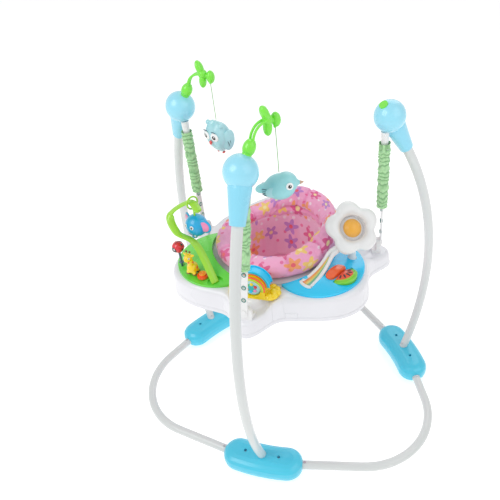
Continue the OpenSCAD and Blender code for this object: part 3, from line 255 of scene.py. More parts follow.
def printedCotton(name, code, shade):
    r, c = Recipe(name), seatLook
    uv = r.cloth()
    ground = r.mix(r.noise(c["cloud"], 2), rgb(code, 0.96), rgb(code, 1.04))
    # painted shade: the ground darkens to the shade colour where the fold mask is high
    ground = r.mix(r.fold(), ground, rgb(shade))
    reach, angle, chance = scatter(r, uv, c["flowers"], c["flowerSpread"])
    wave = (angle * c["petals"] + chance[1] * c["petalTurn"]).calc("COSINE") * c["petalWave"]
    petal = 1 - (reach - (wave + c["petalReach"])).over(0.0, c["petalEdge"])
    heart = 1 - reach.over(c["heartFrom"], c["heartTo"])
    ink = rgb(c["inks"][0])
    for k, other in enumerate(c["inks"][1:], 1):
        ink = r.mix(chance[0].above(k / len(c["inks"])), ink, rgb(other))
    shown = chance[2].above(c["flowersLeftOut"])
    heartInk = r.mix(chance[1].above(0.5), *map(rgb, c["hearts"]))
    dotReach, _, dotChance = scatter(r, uv, c["dots"], c["dotSpread"])
    dots = 1 - dotReach.over(c["dotReach"] - c["dotEdge"], c["dotReach"])
    dots = dots * dotChance[0].above(c["dotsLeftOut"]) * reach.over(*c["dotFree"])
    dotInk = r.mix(dotChance[1].above(0.5), *map(rgb, c["dotInks"]))
    colour = r.mix(dots * c["dotInk"], ground, dotInk)
    colour = r.mix(petal * shown * c["petalInk"], colour, ink)
    colour = r.mix(heart * shown, colour, heartInk)
    return woven(r, c, uv, r.noise(c["fibre"], 3), colour)


# painted reflection: the dome's pale colour grows opaque where the surface turns away from view, standing in
# for the glare on its rim
domeLook = {"code": "D9D5DF", "haze": 60, "edge": 0.35, "rimSheenAlpha": 0.55, "hazeAlpha": 0.06, "rough": 0.03,
            "vary": 0.05, "coat": 0.6, "index": 1.45}


def clearShell(name):
    r, c = Recipe(name), domeLook
    haze = r.noise(c["haze"], 2)
    # facing weight that carries the painted rim reflection
    edge = r.add("ShaderNodeLayerWeight", None, {"Blend": c["edge"]}, out="Facing")
    r.give(Base_Color=rgb(c["code"]), Roughness=c["rough"] + c["vary"] * haze, Coat_Weight=c["coat"],
           Alpha=edge * edge * c["rimSheenAlpha"] + haze * c["hazeAlpha"], IOR=c["index"])
    return r.mat


# bands across the ramp, read from its own map
stripeLook = {"inks": ("4FA8C8", "74C09A", "E3CF6C", "F49A4C", "EE6450"), "grain": 1200, "rough": 0.3,
              "vary": 0.12, "coat": 0.3, "depth": 0.0001, "bump": 0.3}


def rainbowStripes(name):
    r, c = Recipe(name), stripeLook
    _, y, _ = r.axes(r.cloth())
    colour = r.add("ShaderNodeValToRGB", None, {"Fac": y})
    ramp = r.tree.nodes[-1].color_ramp
    ramp.interpolation = "CONSTANT"
    for i, ink in enumerate(c["inks"]):
        start = (i + 0.001) / len(c["inks"])
        stop = ramp.elements[i] if i < len(ramp.elements) else ramp.elements.new(start)
        stop.position, stop.color = start, rgb(ink)
    grain = r.noise(c["grain"], 1)
    r.give(Base_Color=colour, Roughness=c["rough"] + c["vary"] * grain, Coat_Weight=c["coat"],
           Normal=r.bump(grain, c["depth"], c["bump"]))
    return r.mat


stringLook = {"code": "A9DDA0", "lay": 5000.0, "turns": 12.566, "rough": 0.8, "depth": 0.0002, "bump": 0.6}


def twistedString(name):
    r, c = Recipe(name), stringLook
    x, y, _ = r.axes(r.cloth())
    # painted shade and light: the strand wave that drives the bump also darkens the grooves and lightens the
    # crests
    strand = (y * c["lay"] + x * c["turns"]).calc("SINE")
    r.give(Base_Color=r.mix(strand * 0.5 + 0.5, rgb(c["code"], 0.7), rgb(c["code"], 1.1)),
           Roughness=c["rough"], Normal=r.bump(strand, c["depth"], c["bump"]))
    return r.mat


# each plastic's name, colour, roughness and clear coat
plastics = {
    "foot": ("foot blue", "46D0EE", 0.3, 0.35),
    "ball": ("ball blue", "9CE4FA", 0.26, 0.45),
    "socket": ("socket blue", "90DFF8", 0.28, 0.4),
    "tray": ("tray white", "EDEDF2", 0.28, 0.35),
    "white": ("toy white", "F0F0F0", 0.3, 0.35),
    "grey": ("ring grey", "DADBDE", 0.4, 0.1),
    "lime": ("arm lime", "7EEC40", 0.26, 0.45),
    "arch": ("arch lime", "A2E22E", 0.24, 0.5),
    "green": ("panel green", "64DC38", 0.26, 0.45),
    "sky": ("panel blue", "00CCFF", 0.24, 0.5),
    "elephant": ("elephant blue", "10AEE6", 0.28, 0.4),
    "yellow": ("toy yellow", "FFD90A", 0.26, 0.45),
    "orange": ("button orange", "FF6422", 0.24, 0.5),
    "amber": ("lamp amber", "FFB400", 0.3, 0.4),
    "red": ("bead red", "E51E32", 0.22, 0.55),
    "pink": ("ear pink", "F78FC0", 0.3, 0.4),
    "owl": ("owl blue", "AFE0E8", 0.3, 0.35),
    "bird": ("bird blue", "9ADCE2", 0.3, 0.35),
    "teal": ("drum teal", "35BFC0", 0.3, 0.35),
    "brown": ("foot brown", "7A4A22", 0.35, 0.25),
    "black": ("pupil black", "141418", 0.15, 0.7),
    "eye": ("eye white", "FBFBFB", 0.18, 0.6),
    "navy": ("trunk blue", "0B5FA8", 0.3, 0.4),
    "flesh": ("melon red", "F4552C", 0.28, 0.4),
    "rind": ("melon green", "7ED622", 0.28, 0.4),
    "trim": ("piping pink", "F277B4", 0.7, 0.0),
    "slate": ("brow slate", "4E6E7E", 0.4, 0.2),
    "coral": ("beak coral", "F2605E", 0.3, 0.4),
    "beak": ("beak tan", "C9A48C", 0.35, 0.3),
    "slot": ("slot grey", "9FA5B4", 0.4, 0.1),
    "eyelet": ("eyelet teal", "3F857A", 0.35, 0.2),
}
finish = {look: plastic(*row) for look, row in plastics.items()}
finish |= {
    "tube": powderTube("white tube"),
    "rubber": rubber("pad rubber"),
    "steel": zincSteel("zinc steel"),
    "sleeve": gatherCloth("sleeve cotton"),
    "seat": printedCotton("seat cotton", "FFACD4", "F590C2"),
    # painted light: the lining is the seat print lightened so it stays bright in the seat's shadow
    "lining": printedCotton("lining cotton", "FFC6E2", "FFACD4"),
    "clear": clearShell("clear dome"),
    "string": twistedString("string green"),
    "rainbow": rainbowStripes("ramp stripes"),
}
print("finishes:", len(finish))


def each(stem):
    return [stem + side for side in sides]


# which finish each CAD node wears
wears = {
    "tube": ["base_tube_left", "base_tube_right", "base_tube_back"] + each("upright_"),
    "foot": each("foot_cover_") + each("foot_base_"),
    "ball": each("head_ball_"),
    "socket": each("head_socket_"),
    "rubber": ["foot_pads"],
    "steel": ["foot_screws", "snap_buttons"] + each("spring_"),
    "white": ["spring_hangers", "strap_brackets", "ramp", "flower"] + each("strap_"),
    "tray": ["tray_top", "tray_base"],
    "grey": ["seat_ring", "seat_retainer"],
    "sleeve": each("sleeve_"),
    "lime": ["toy_arm_front", "toy_arm_left", "arm_plug"],
    "arch": ["green_arch"],
    "green": ["green_panel"],
    "sky": ["blue_panel", "front_toy_arch"],
    "elephant": ["elephant"],
    "yellow": ["front_toy", "giraffe"],
    "orange": ["play_button", "knob"],
    "amber": ["flower_lamp"],
    "red": ["ladybird"],
    "owl": ["owl"],
    "bird": ["bird"],
    "teal": ["toy_drum"],
    "flesh": ["melon_button"],
    "clear": ["flower_dome"],
    "string": ["owl_string", "bird_string"],
    "seat": ["seat_pad"],
}
for look, names in wears.items():
    for name in names:
        nodes[name].data.materials.clear()
        nodes[name].data.materials.append(finish[look])


# the camera stands where the photograph was taken from
shot = {"place": (0.328, -1.0197, 1.269), "ahead": (-0.2415, 0.7210, -0.6496), "roll": -0.089,
        "focalPx": 541.67, "middlePx": (282.4, 284.4), "framePx": 500, "sensor": 36, "clip": (0.05, 50)}


def linked(name, data):
    obj = bpy.data.objects.new(name, data)
    bpy.context.scene.collection.objects.link(obj)
    return obj


def addCamera():
    cam = bpy.data.cameras.new("camera")
    obj = linked("camera", cam)
    ahead = Vector(shot["ahead"]).normalized()
    right = ahead.cross(skyward).normalized()
    up = right.cross(ahead)
    c, s = math.cos(shot["roll"]), math.sin(shot["roll"])
    x, y = right * c + up * s, up * c - right * s
    obj.matrix_world = Matrix.Translation(shot["place"]) @ Matrix((x, y, -ahead)).transposed().to_4x4()
    px = shot["framePx"]
    cam.sensor_width = shot["sensor"]
    cam.lens = shot["focalPx"] * cam.sensor_width / px
    cam.shift_x = (px / 2 - shot["middlePx"][0]) / px
    cam.shift_y = (shot["middlePx"][1] - px / 2) / px
    cam.clip_start, cam.clip_end = shot["clip"]
    bpy.context.scene.camera = obj


# lamps by place, watts and size; the world lights the part and shows as white
studio = {"worldLight": 0.62, "floorCode": "FBFBFB", "floorRough": 0.7, "floorGlow": 1.9, "glowShare": 0.35,
          "floorHalf": 6, "aim": (0, 0, 0.4),
          "lamps": {"key": ((-1.3, -1.6, 2.4), 26, 1.6), "fill": ((1.8, -0.6, 1.9), 12, 2.0),
                    "back": ((0.2, 2.0, 2.2), 12, 2.0)}}


def addWorld(scene):
    scene.world = bpy.data.worlds.new("studio")
    scene.world.use_nodes = True
    g = Graph(scene.world.node_tree)
    g.tree.nodes.clear()
    camera, glossy, through = (g.add("ShaderNodeLightPath", out=f"Is {ray} Ray")
                               for ray in ("Camera", "Glossy", "Transmission"))
    seen = camera.calc("MAXIMUM", glossy.calc("MAXIMUM", through))
    light = g.add("ShaderNodeBackground", None, {"Strength": studio["worldLight"]})
    backdrop = g.add("ShaderNodeBackground", None, {"Color": white, "Strength": 1.0})
    both = g.add("ShaderNodeMixShader", None, {0: seen, 1: light, 2: backdrop})
    g.add("ShaderNodeOutputWorld", None, {"Surface": both})


def addStudio():
    scene = bpy.context.scene
    scene.view_settings.view_transform = "Standard"
    addWorld(scene)
    for name, (place, watts, size) in studio["lamps"].items():
        lamp = bpy.data.lights.new(name, "AREA")
        lamp.energy, lamp.size = watts, size
        obj = linked(name, lamp)
        obj.location = place
        obj.rotation_mode = "QUATERNION"
        obj.rotation_quaternion = (Vector(studio["aim"]) - Vector(place)).to_track_quat("-Z", "Y")
    me = bpy.data.meshes.new("floor")
    h = studio["floorHalf"]
    me.from_pydata([(-h, -h, 0), (h, -h, 0), (h, h, 0), (-h, h, 0)], [], [(0, 1, 2, 3)])
    floor = linked("floor", me)
    r = Recipe("studio floor")
    glow = r.add("ShaderNodeEmission", None, {"Color": white, "Strength": studio["floorGlow"]})
    r.give(Base_Color=rgb(studio["floorCode"]), Roughness=studio["floorRough"])
    matt = Sock(r, r.shader.outputs[0])
    both = r.add("ShaderNodeMixShader", None, {0: studio["glowShare"], 1: matt, 2: glow})
    r.feed(r.tree.nodes["Material Output"].inputs["Surface"], both)
    me.materials.append(r.mat)


addCamera()
addStudio()
print("camera and studio ready")


# mesh helpers
def turns(n):  # n angles round a circle
    return [fullTurn * i / n for i in range(n)]


def bowed(x, power):  # a power that keeps the sign
    return math.copysign(abs(x) ** power, x)


def at(x, y, z):
    return Vector((x, y, z)) * mm


def facing(x, y, z):
    return Vector((x, y, z)).to_track_quat("Z", "Y")


def smoothed(name, me, look):  # a mesh as a smooth object in its finish
    me.polygons.foreach_set("use_smooth", [True] * len(me.polygons))
    me.materials.append(finish[look])
    return linked(name, me)


def newObject(name, verts, faces, look):
    me = bpy.data.meshes.new(name)
    me.from_pydata([tuple(v) for v in verts], [], faces)
    return smoothed(name, me, look)


def gridFaces(rings, facets, loop=False, capped=False):
    faces = []
    for i in range(rings if loop else rings - 1):
        for j in range(facets):
            a, b = i * facets + j, i * facets + (j + 1) % facets
            c = ((i + 1) % rings) * facets
            faces.append((a, b, c + (j + 1) % facets, c + j))
    if capped:
        faces.append(tuple(range(facets - 1, -1, -1)))
        faces.append(tuple((rings - 1) * facets + j for j in range(facets)))
    return faces


def sheet(name, rings, look, loop=False, capped=False):
    verts = [v for ring in rings for v in ring]
    return newObject(name, verts, gridFaces(len(rings), len(rings[0]), loop, capped), look)


def outward(obj):  # merges doubles and turns every face outwards
    bm = bmesh.new()
    bm.from_mesh(obj.data)
    bmesh.ops.remove_doubles(bm, verts=bm.verts, dist=1e-6)
    bmesh.ops.recalc_face_normals(bm, faces=bm.faces)
    bm.to_mesh(obj.data)
    bm.free()
    return obj


def loft(name, rings, look, loop=False, capped=False):
    return outward(sheet(name, rings, look, loop, capped))


def settle(obj):  # modifiers become plain mesh
    dg = bpy.context.evaluated_depsgraph_get()
    me = bpy.data.meshes.new_from_object(obj.evaluated_get(dg))
    obj.modifiers.clear()
    obj.data = me
    return obj


def rounded(obj):
    mod = obj.modifiers.new("round", "SUBSURF")
    mod.levels = mod.render_levels = 1
    return settle(obj)


def walled(obj, thickness, offset=-1):
    mod = obj.modifiers.new("wall", "SOLIDIFY")
    mod.thickness, mod.offset = thickness, offset
    return settle(obj)


def joined(name, objs):
    with bpy.context.temp_override(active_object=objs[0], selected_editable_objects=objs, object=objs[0]):
        bpy.ops.object.join()
    objs[0].name = name
    return objs[0]


def moved(obj, matrix):
    obj.data.transform(matrix)
    return obj


def dress(objs, body, node=None, place=still):
    for obj in objs:
        moved(obj, place)
        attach(obj, body)
        if node:
            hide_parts(node)


def ball(name, place, radii, look, turn=None, steps=24, unit=mm):  # an ellipsoid, its place in its mesh
    bm = bmesh.new()
    bmesh.ops.create_uvsphere(bm, u_segments=steps, v_segments=steps // 2, radius=1)
    spin = turn.to_matrix().to_4x4() if turn else still
    size = Matrix.Diagonal((*(x * unit for x in radii), 1))
    bmesh.ops.transform(bm, matrix=Matrix.Translation(Vector(place) * unit) @ spin @ size, verts=bm.verts)
    me = bpy.data.meshes.new(name)
    bm.to_mesh(me)
    bm.free()
    return smoothed(name, me, look)


def moulded(name, parts, look, voxel, soften):  # rounded parts melted into one moulding
    obj = joined(name, parts)
    mod = obj.modifiers.new("melt", "REMESH")
    mod.mode, mod.voxel_size, mod.use_smooth_shade = "VOXEL", voxel, True
    mod = obj.modifiers.new("soften", "SMOOTH")
    mod.factor, mod.iterations = 0.5, soften
    settle(obj)
    obj.data.materials.clear()
    obj.data.materials.append(finish[look])
    obj.data.polygons.foreach_set("material_index", [0] * len(obj.data.polygons))
    return obj


def tube(name, path, radius, look, facets, closed=False):  # the radius may be a function of the way along
    path = [Vector(p) for p in path]
    n = len(path)
    rings, side = [], None
    for i, p in enumerate(path):
        before = path[i - 1] if closed or i else p
        after = path[(i + 1) % n] if closed or i < n - 1 else p
        ahead = (after - before).normalized()
        if side is None:
            side = ahead.orthogonal().normalized()
        side = (side - ahead * side.dot(ahead)).normalized()
        other = ahead.cross(side)
        r = radius(i / (n - 1)) if callable(radius) else radius
        rings.append([p + r * (side * math.cos(a) + other * math.sin(a)) for a in turns(facets)])
    return loft(name, rings, look, loop=closed, capped=not closed)


def mapCloth(obj, table):  # table gives each vertex its place on the flat cloth, in metres
    layer = obj.data.uv_layers.new(name="cloth")
    layer.data.foreach_set("uv", [c for loop in obj.data.loops for c in table[loop.vertex_index]])


def mapRound(obj, spots, around):  # like mapCloth, with the ring's join kept whole
    layer = obj.data.uv_layers.new(name="cloth")
    for poly in obj.data.polygons:
        first = spots[obj.data.loops[poly.loop_start].vertex_index]
        for li in poly.loop_indices:
            u, v = spots[obj.data.loops[li].vertex_index]
            u -= round((u - first[0]) / around) * around
            layer.data[li].uv = (u, v)


# stores painted shade for each vertex as the 'fold' attribute
def paintFoldShade(obj, values):
    layer = obj.data.attributes.new("fold", "FLOAT", "POINT")
    layer.data.foreach_set("value", values)


def axisOf(node):  # lower and upper end of a long node, along its own axis
    co = np.array([v.co for v in nodes[node].data.vertices])
    co = np.unique(np.round(co, 5), axis=0)
    mid = (co.max(0) + co.min(0)) / 2
    z = co[:, 2]
    along = co[z > z.max() - 4 * mm].mean(0) - co[z < z.min() + 4 * mm].mean(0)
    along /= np.linalg.norm(along)
    for _ in range(3):
        t = (co - mid) @ along
        high, deep = co[t > t.max() - 3 * mm].mean(0), co[t < t.min() + 3 * mm].mean(0)
        along = (high - deep) / np.linalg.norm(high - deep)
    t = (co - mid) @ along
    mid = (high + deep) / 2
    half = (t.max() - t.min()) / 2
    return Vector(mid - along * half), Vector(mid + along * half)


def wobble(x, y=0.0, z=0.0):
    return noise.noise(Vector((x, y, z)))


def bell(x):
    return math.exp(-x * x)


def ease(s):
    s = min(1.0, max(0.0, s))
    return s * s * (3 - 2 * s)


# gathered cotton sleeves over the springs
sleeveCut = {"gathers": 13, "drift": 1.5, "slant": 0.55, "pinch": 10.2 * mm, "puff": 13.8 * mm,
             "crest": 0.75, "fill": 0.68, "fillVary": 0.62, "frill": 12.6 * mm, "hem": 0.035,
             "ripple": 0.35 * mm, "ripples": 9, "steps": 300, "round": 64, "wall": 0.6 * mm,
             "clothRound": 0.08, "clothSlack": 1.8}


def addSleeve(side):
    c = sleeveCut
    low, high = axisOf("sleeve_" + side)
    along = (high - low).normalized()
    out = Vector((along.y, -along.x, 0.3)).cross(along).normalized()
    across = along.cross(out)
    length = (high - low).length
    seed = sides.index(side) * 7.3
    rings, cloth, paintedShade = [], [], []
    for i in range(c["steps"] + 1):
        s = i / c["steps"]
        phase = c["gathers"] * s + c["drift"] * wobble(s * 5, seed)
        hem = min(1.0, min(s, 1 - s) / c["hem"])
        ring = []
        for j, a in enumerate(turns(c["round"])):
            x, y = math.cos(a), math.sin(a)
            lean = c["slant"] * wobble(x * 1.3, y * 1.3, s * 8 + seed)
            crest = abs(math.sin(math.pi * (phase + lean))) ** c["crest"]
            fill = c["fill"] + c["fillVary"] * wobble(x * 2 + 4, y * 2, s * 14 + seed)
            r = c["pinch"] + (c["puff"] - c["pinch"]) * fill * crest * hem
            r += (1 - hem) * (c["frill"] - c["pinch"]) * max(0.0, 1 - 2.2 * hem)
            r += c["ripple"] * math.sin(c["ripples"] * a + 5 * wobble(s * 20, seed)) * (1 - crest)
            ring.append(low + along * (s * length) + (out * x + across * y) * r)
            cloth.append((j / c["round"] * c["clothRound"], s * length * c["clothSlack"]))
            # painted shade: light on the crests, dark in the troughs between gathers
            shade = 0.85 + 0.5 * wobble(x * 3, y * 3, s * 22 + seed)
            paintedShade.append(min(1.0, crest * shade + 0.15))
        rings.append(ring)
    obj = sheet("sleeveCotton" + side.title(), rings, "sleeve")
    mapCloth(obj, cloth)
    paintFoldShade(obj, paintedShade)
    walled(obj, c["wall"])
    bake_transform(obj)
    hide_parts("sleeve_" + side)


# node trees for what repeats: named inputs, and one geometry output with its finish
def newTree(name, rows):
    g = Graph(bpy.data.node_groups.new(name, "GeometryNodeTree"))
    made = {}
    for label, value in rows.items():
        kind = "NodeSocketInt" if isinstance(value, int) else "NodeSocketFloat"
        item = g.tree.interface.new_socket(label, in_out="INPUT", socket_type=kind)
        item.default_value = value
        made[label] = item.identifier
    item = g.tree.interface.new_socket("Finish", in_out="INPUT", socket_type="NodeSocketMaterial")
    made["Finish"] = item.identifier
    g.tree.interface.new_socket("Geometry", in_out="OUTPUT", socket_type="NodeSocketGeometry")
    entry = g.tree.nodes.new("NodeGroupInput")
    return g, made, {label: Sock(g, entry.outputs[label]) for label in made}


def closeTree(g, shape, look):
    for kind, ins in (("RealizeInstances", {}), ("SetShadeSmooth", {}), ("SetMaterial", {"Material": look})):
        shape = g.add("GeometryNode" + kind, None, {"Geometry": shape} | ins)
    g.add("NodeGroupOutput", None, {0: shape})
    return g.tree


def grown(name, tree, made, values, look):  # the tree's shape as a plain mesh
    obj = newObject(name, [(0, 0, 0)], [], look)
    mod = obj.modifiers.new("grown", "NODES")
    mod.node_group = tree
    for label, value in (values | {"Finish": finish[look]}).items():
        mod[made[label]] = value
    return settle(obj)


def circleCurve(g, radius, steps):
    return g.add("GeometryNodeCurvePrimitiveCircle", None, {"Radius": radius, "Resolution": steps})


# coil springs inside the sleeves
springWire = {"curls": 26.0, "wire": 2.0 * mm, "coil": 12.0 * mm, "curlSteps": 20, "wireSteps": 8}


def springTree():
    c = springWire
    g, made, ins = newTree("coil spring", {"Curls": 20.0, "Coil Radius": 0.006, "Wire Radius": 0.001,
                                           "Length": 0.13})
    spiral = g.add("GeometryNodeCurveSpiral", None, {
        "Resolution": c["curlSteps"], "Rotations": ins["Curls"], "Height": ins["Length"],
        "Start Radius": ins["Coil Radius"], "End Radius": ins["Coil Radius"]})
    wire = circleCurve(g, ins["Wire Radius"], c["wireSteps"])
    skin = g.add("GeometryNodeCurveToMesh", None,
                 {"Curve": spiral, "Profile Curve": wire, "Fill Caps": True})
    return closeTree(g, skin, ins["Finish"]), made


def addSprings():
    c = springWire
    tree, made = springTree()
    for side in sides:
        low, high = axisOf("spring_" + side)
        span = high - low
        sizes = {"Curls": c["curls"], "Coil Radius": c["coil"] / 2, "Wire Radius": c["wire"] / 2,
                 "Length": span.length}
        obj = grown("coilSpring" + side.title(), tree, made, sizes, "steel")
        moved(obj, Matrix.Translation(low) @ span.to_track_quat("Z", "X").to_matrix().to_4x4())
        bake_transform(obj)
        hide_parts("spring_" + side)


# teal eyelets round the straps' holes
eyeletCut = {"tail": 14 * mm, "pitch": 31 * mm, "count": 3, "ring": 4.2 * mm, "wire": 1.1 * mm,
             "lift": 1.9 * mm, "ringSteps": 40, "wireSteps": 12}


def eyeletTree():
    c = eyeletCut
    g, made, ins = newTree("eyelet row", {"Count": 3, "Pitch": 0.03, "Ring Radius": 0.004,
                                          "Wire Radius": 0.001})
    step = g.add("ShaderNodeCombineXYZ", None, {"Y": ins["Pitch"]})
    row = g.add("GeometryNodeMeshLine", None, {"Count": ins["Count"], "Offset": step})
    ring = circleCurve(g, ins["Ring Radius"], c["ringSteps"])
    wire = circleCurve(g, ins["Wire Radius"], c["wireSteps"])
    skin = g.add("GeometryNodeCurveToMesh", None, {"Curve": ring, "Profile Curve": wire})
    spread = g.add("GeometryNodeInstanceOnPoints", None, {"Points": row, "Instance": skin})
    return closeTree(g, spread, ins["Finish"]), made


def addEyelets():
    c = eyeletCut
    tree, made = eyeletTree()
    sizes = {"Count": c["count"], "Pitch": c["pitch"], "Ring Radius": c["ring"], "Wire Radius": c["wire"]}
    for side in sides:
        low, high = axisOf("strap_" + side)
        along = (high - low).normalized()
        co = np.array([v.co for v in nodes["strap_" + side].data.vertices])
        face = Vector(np.linalg.svd(co - co.mean(0), full_matrices=False)[2][2])
        face = (face - along * face.dot(along)).normalized()
        turn = Matrix((along.cross(face), along, face)).transposed().to_4x4()
        first = low + along * (c["tail"] + c["pitch"])
        rows = []
        for s in (-1, 1):
            row = grown(f"eyelets{side.title()}{s}", tree, made, sizes, "eyelet")
            rows.append(moved(row, Matrix.Translation(first + face * s * c["lift"]) @ turn))
        dress([joined("eyelets" + side.title(), rows)], "tray")


for side in sides:
    addSleeve(side)
addSprings()
addEyelets()
print("sleeves and springs dressed")


# thin strings of the hanging toys
stringCut = {"diameter": 1.6 * mm, "steps": 24, "facets": 10}


def addString(name, node, body):
    c = stringCut
    low, high = axisOf(node)
    length = (high - low).length
    path = [high.lerp(low, i / c["steps"]) for i in range(c["steps"] + 1)]
    obj = tube(name, path, c["diameter"] / 2, "string", c["facets"])
    places = (divmod(k, c["facets"]) for k in range(len(obj.data.vertices)))
    mapCloth(obj, [(j / c["facets"], i / c["steps"] * length) for i, j in places])
    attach(obj, body)
    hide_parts(node)


addString("owlString", "owl_string", "owl_body")
addString("birdString", "bird_string", "bird_body")
print("strings hung")


# the tray: one smooth moulded shell over the CAD tray, in millimetres
trayCut = {"hole": 141, "top": 485, "skirt": 60, "flat": 200, "playOut": 60, "playAz": (-29, 214),
           "playSpread": 27, "rearAz": 90, "rearSpread": 34, "pegs": ((-4, -242), (244, 55), (-212, 55)),
           "pegEdge": 20, "pegSpread": 11, "pegFlat": 1.7, "pegStep": 20, "stepFrom": 0.56,
           "stepShare": 0.16, "flare": 4, "rim": 13, "rimTurn": 8.5, "wall": 2.6, "lip": 14, "steps": 420,
           "seamUp": 11, "seamDeep": 0.9, "panelAt": 137, "panelR": 104,
           "flatShares": (0.12, 0.3, 0.45, 0.54, 0.58, 0.61, 0.64, 0.67, 0.7, 0.74, 0.82, 0.92)}
pegTurns = [(math.degrees(math.atan2(y, x)), math.hypot(x, y) + trayCut["pegEdge"] - trayCut["flat"])
            for x, y in trayCut["pegs"]]


def atTray(r, degrees, z):  # millimetres round the tray's axis to a place in the frame
    a = math.radians(degrees)
    return Vector((trayAxis.x + r * math.cos(a) * mm, trayAxis.y + r * math.sin(a) * mm, z * mm))


def turnFrom(t, az):  # degrees from az to t, between -180 and 180
    return (t - az + 180) % 360 - 180


def swell(t, az, spread):
    return bell(turnFrom(t, az) / spread)


def trayEdge(t):
    c = trayCut
    play = sum(swell(t, a, c["playSpread"]) for a in c["playAz"]) + swell(t, c["rearAz"], c["rearSpread"])
    return c["flat"] + c["playOut"] * play + max(out * swell(t, a, c["pegSpread"]) for a, out in pegTurns)


def trayStep(t):
    c = trayCut
    return c["pegStep"] * ease(c["pegFlat"] * max(swell(t, a, c["pegSpread"]) for a, _ in pegTurns))


def trayProfile(t):  # radius and height from the hole over the rim and down to the lower edge
    c = trayCut
    edge, step, top, low = trayEdge(t), trayStep(t), c["top"], c["top"] - c["skirt"]
    hole, inner = c["hole"], edge - c["flare"] - c["rim"]
    line = [(hole, top - c["lip"]), (hole, top - 1.6), (hole + 0.5, top - 0.5), (hole + 1.6, top)]
    for share in c["flatShares"]:
        down = step * ease((share - c["stepFrom"]) / c["stepShare"])
        line.append((hole + share * (inner - hole), top - down))
    for k in range(11):
        a = math.radians(c["rimTurn"] * k)
        line.append((inner + c["rim"] * math.sin(a), top - step - c["rim"] * (1 - math.cos(a))))
    r0, z0 = line[-1]
    seam, deep = low + c["seamUp"], c["seamDeep"]
    for z, inset in ((z0 * 0.6 + seam * 0.4, 0), (seam + 2.4, 0), (seam + 1.1, 0.1), (seam + 0.6, deep),
                     (seam - 0.6, deep), (seam - 1.1, 0.1), (seam - 2.4, 0), (low + 3.2, 0),
                     (low + 1.2, 0.5), (low + 0.3, 1.4)):
        line.append((r0 + (edge - r0) * (z0 - z) / (z0 - low) - inset, z))
    return line


def trayInside(t):  # the same line's way back under the shell
    c = trayCut
    edge, w, hole = trayEdge(t), c["wall"], c["hole"]
    inner, low = edge - c["flare"] - c["rim"], c["top"] - c["skirt"]
    top = c["top"] - trayStep(t)
    return [(edge - w, low), (edge - w - 0.6, low + 4), (inner + c["rim"] - w, top - c["rim"]),
            (inner + 4, top - w - 2), (inner - 6, top - w), (hole + 0.72 * (inner - hole), top - w),
            (hole + 0.58 * (inner - hole) - 1.5, c["top"] - w), (hole + w, c["top"] - w),
            (hole + w, c["top"] - c["lip"])]


def trayPoint(t, s, lift):  # s counts along the profile's points, lift stands off the surface
    line = trayProfile(t)
    i = min(int(s), len(line) - 2)
    (r0, z0), (r1, z1) = line[i], line[i + 1]
    f = s - i
    dr, dz = r1 - r0, z1 - z0
    size = math.hypot(dr, dz)
    return atTray(r0 + dr * f - dz / size * lift, t, z0 + dz * f + dr / size * lift)


def addTray():
    rings = []
    for i in range(trayCut["steps"]):
        t = 360 * i / trayCut["steps"]
        rings.append([atTray(r, t, z) for r, z in trayProfile(t) + trayInside(t)])
    dress([loft("trayShell", rings, "tray", loop=True)], "tray", "tray_top")


# moulded plates on the front skirt, and the small grey slot by the seat
hatchCut = {"proud": 0.7, "sunk": -0.8, "border": 0.5, "across": 16, "down": 40, "slotAz": -73.5,
            "slotR": 160, "slotSize": (7.5, 3.4), "slotSteps": 40,
            "plates": ((-77.5, -70.5, 17.4, 28.6), (-70, -62.5, 27.4, 31.2)),
            "slotRings": ((1.12, -0.5), (1.12, 0.7), (1.04, 1.1), (0.96, 0.8), (0.9, -0.4), (0.3, -0.6))}


def addHatch():
    c = hatchCut
    n, m = c["across"], c["down"]
    row, size = m + 1, (n + 1) * (m + 1)
    faces = []
    for i in range(n):
        for j in range(m):
            a = i * row + j
            quad = (a, a + 1, a + row + 1, a + row)
            faces += [quad, tuple(size + v for v in reversed(quad))]
    rim = [*range(m + 1)] + [i * row + m for i in range(1, n + 1)]
    rim += [n * row + j for j in range(m - 1, -1, -1)] + [i * row for i in range(n - 1, 0, -1)]
    faces += [(a, b, size + b, size + a) for a, b in zip(rim, rim[1:] + rim[:1])]
    for k, (t0, t1, s0, s1) in enumerate(c["plates"]):
        verts = []
        for lift in (c["proud"], c["sunk"]):
            for i in range(n + 1):
                for j in range(m + 1):
                    inside = lift < 0 or min(i, n - i, j, m - j)
                    height = lift if inside else lift - c["border"]
                    verts.append(trayPoint(t0 + (t1 - t0) * i / n, s0 + (s1 - s0) * j / m, height))
        dress([outward(newObject(f"trayHatch{k}", verts, faces, "tray"))], "tray")
    w, h = c["slotSize"]
    rings = [[at(h * share * math.cos(b), w * share * math.sin(b), up) for b in turns(c["slotSteps"])]
             for share, up in c["slotRings"]]
    place = placed(atTray(c["slotR"], c["slotAz"], trayCut["top"]), c["slotAz"])
    dress([loft("traySlot", rings, "slot", capped=True)], "tray", place=place)


def placed(middle, degrees):  # a local frame; on the toys -Y is the front
    return Matrix.Translation(middle) @ Matrix.Rotation(math.radians(degrees), 4, "Z")


addTray()
addHatch()
print("tray moulded")


# the swivel seat's padded roll with a high back, in millimetres
padCut = {"az": 38, "out": 146.5, "front": 29.5, "back": 18, "low": 490.6, "rise": 529, "backRise": 50,
          "backSpread": 62, "backFlat": 1.35, "power": 0.62, "backPower": 0.1, "backLean": 5.0,
          "backThin": 0.2, "voxel": 5 * mm, "pressure": 4.0, "frames": 20, "cap": 7 * mm, "shrink": 0.92,
          "around": 240, "section": 56, "mass": 0.3, "stretch": 12, "bend": 0.6, "clothR": 0.123}


def backShare(t):  # 1 in the middle of the back, 0 at the front
    return ease(min(1, padCut["backFlat"] * swell(t, padCut["az"], padCut["backSpread"])))


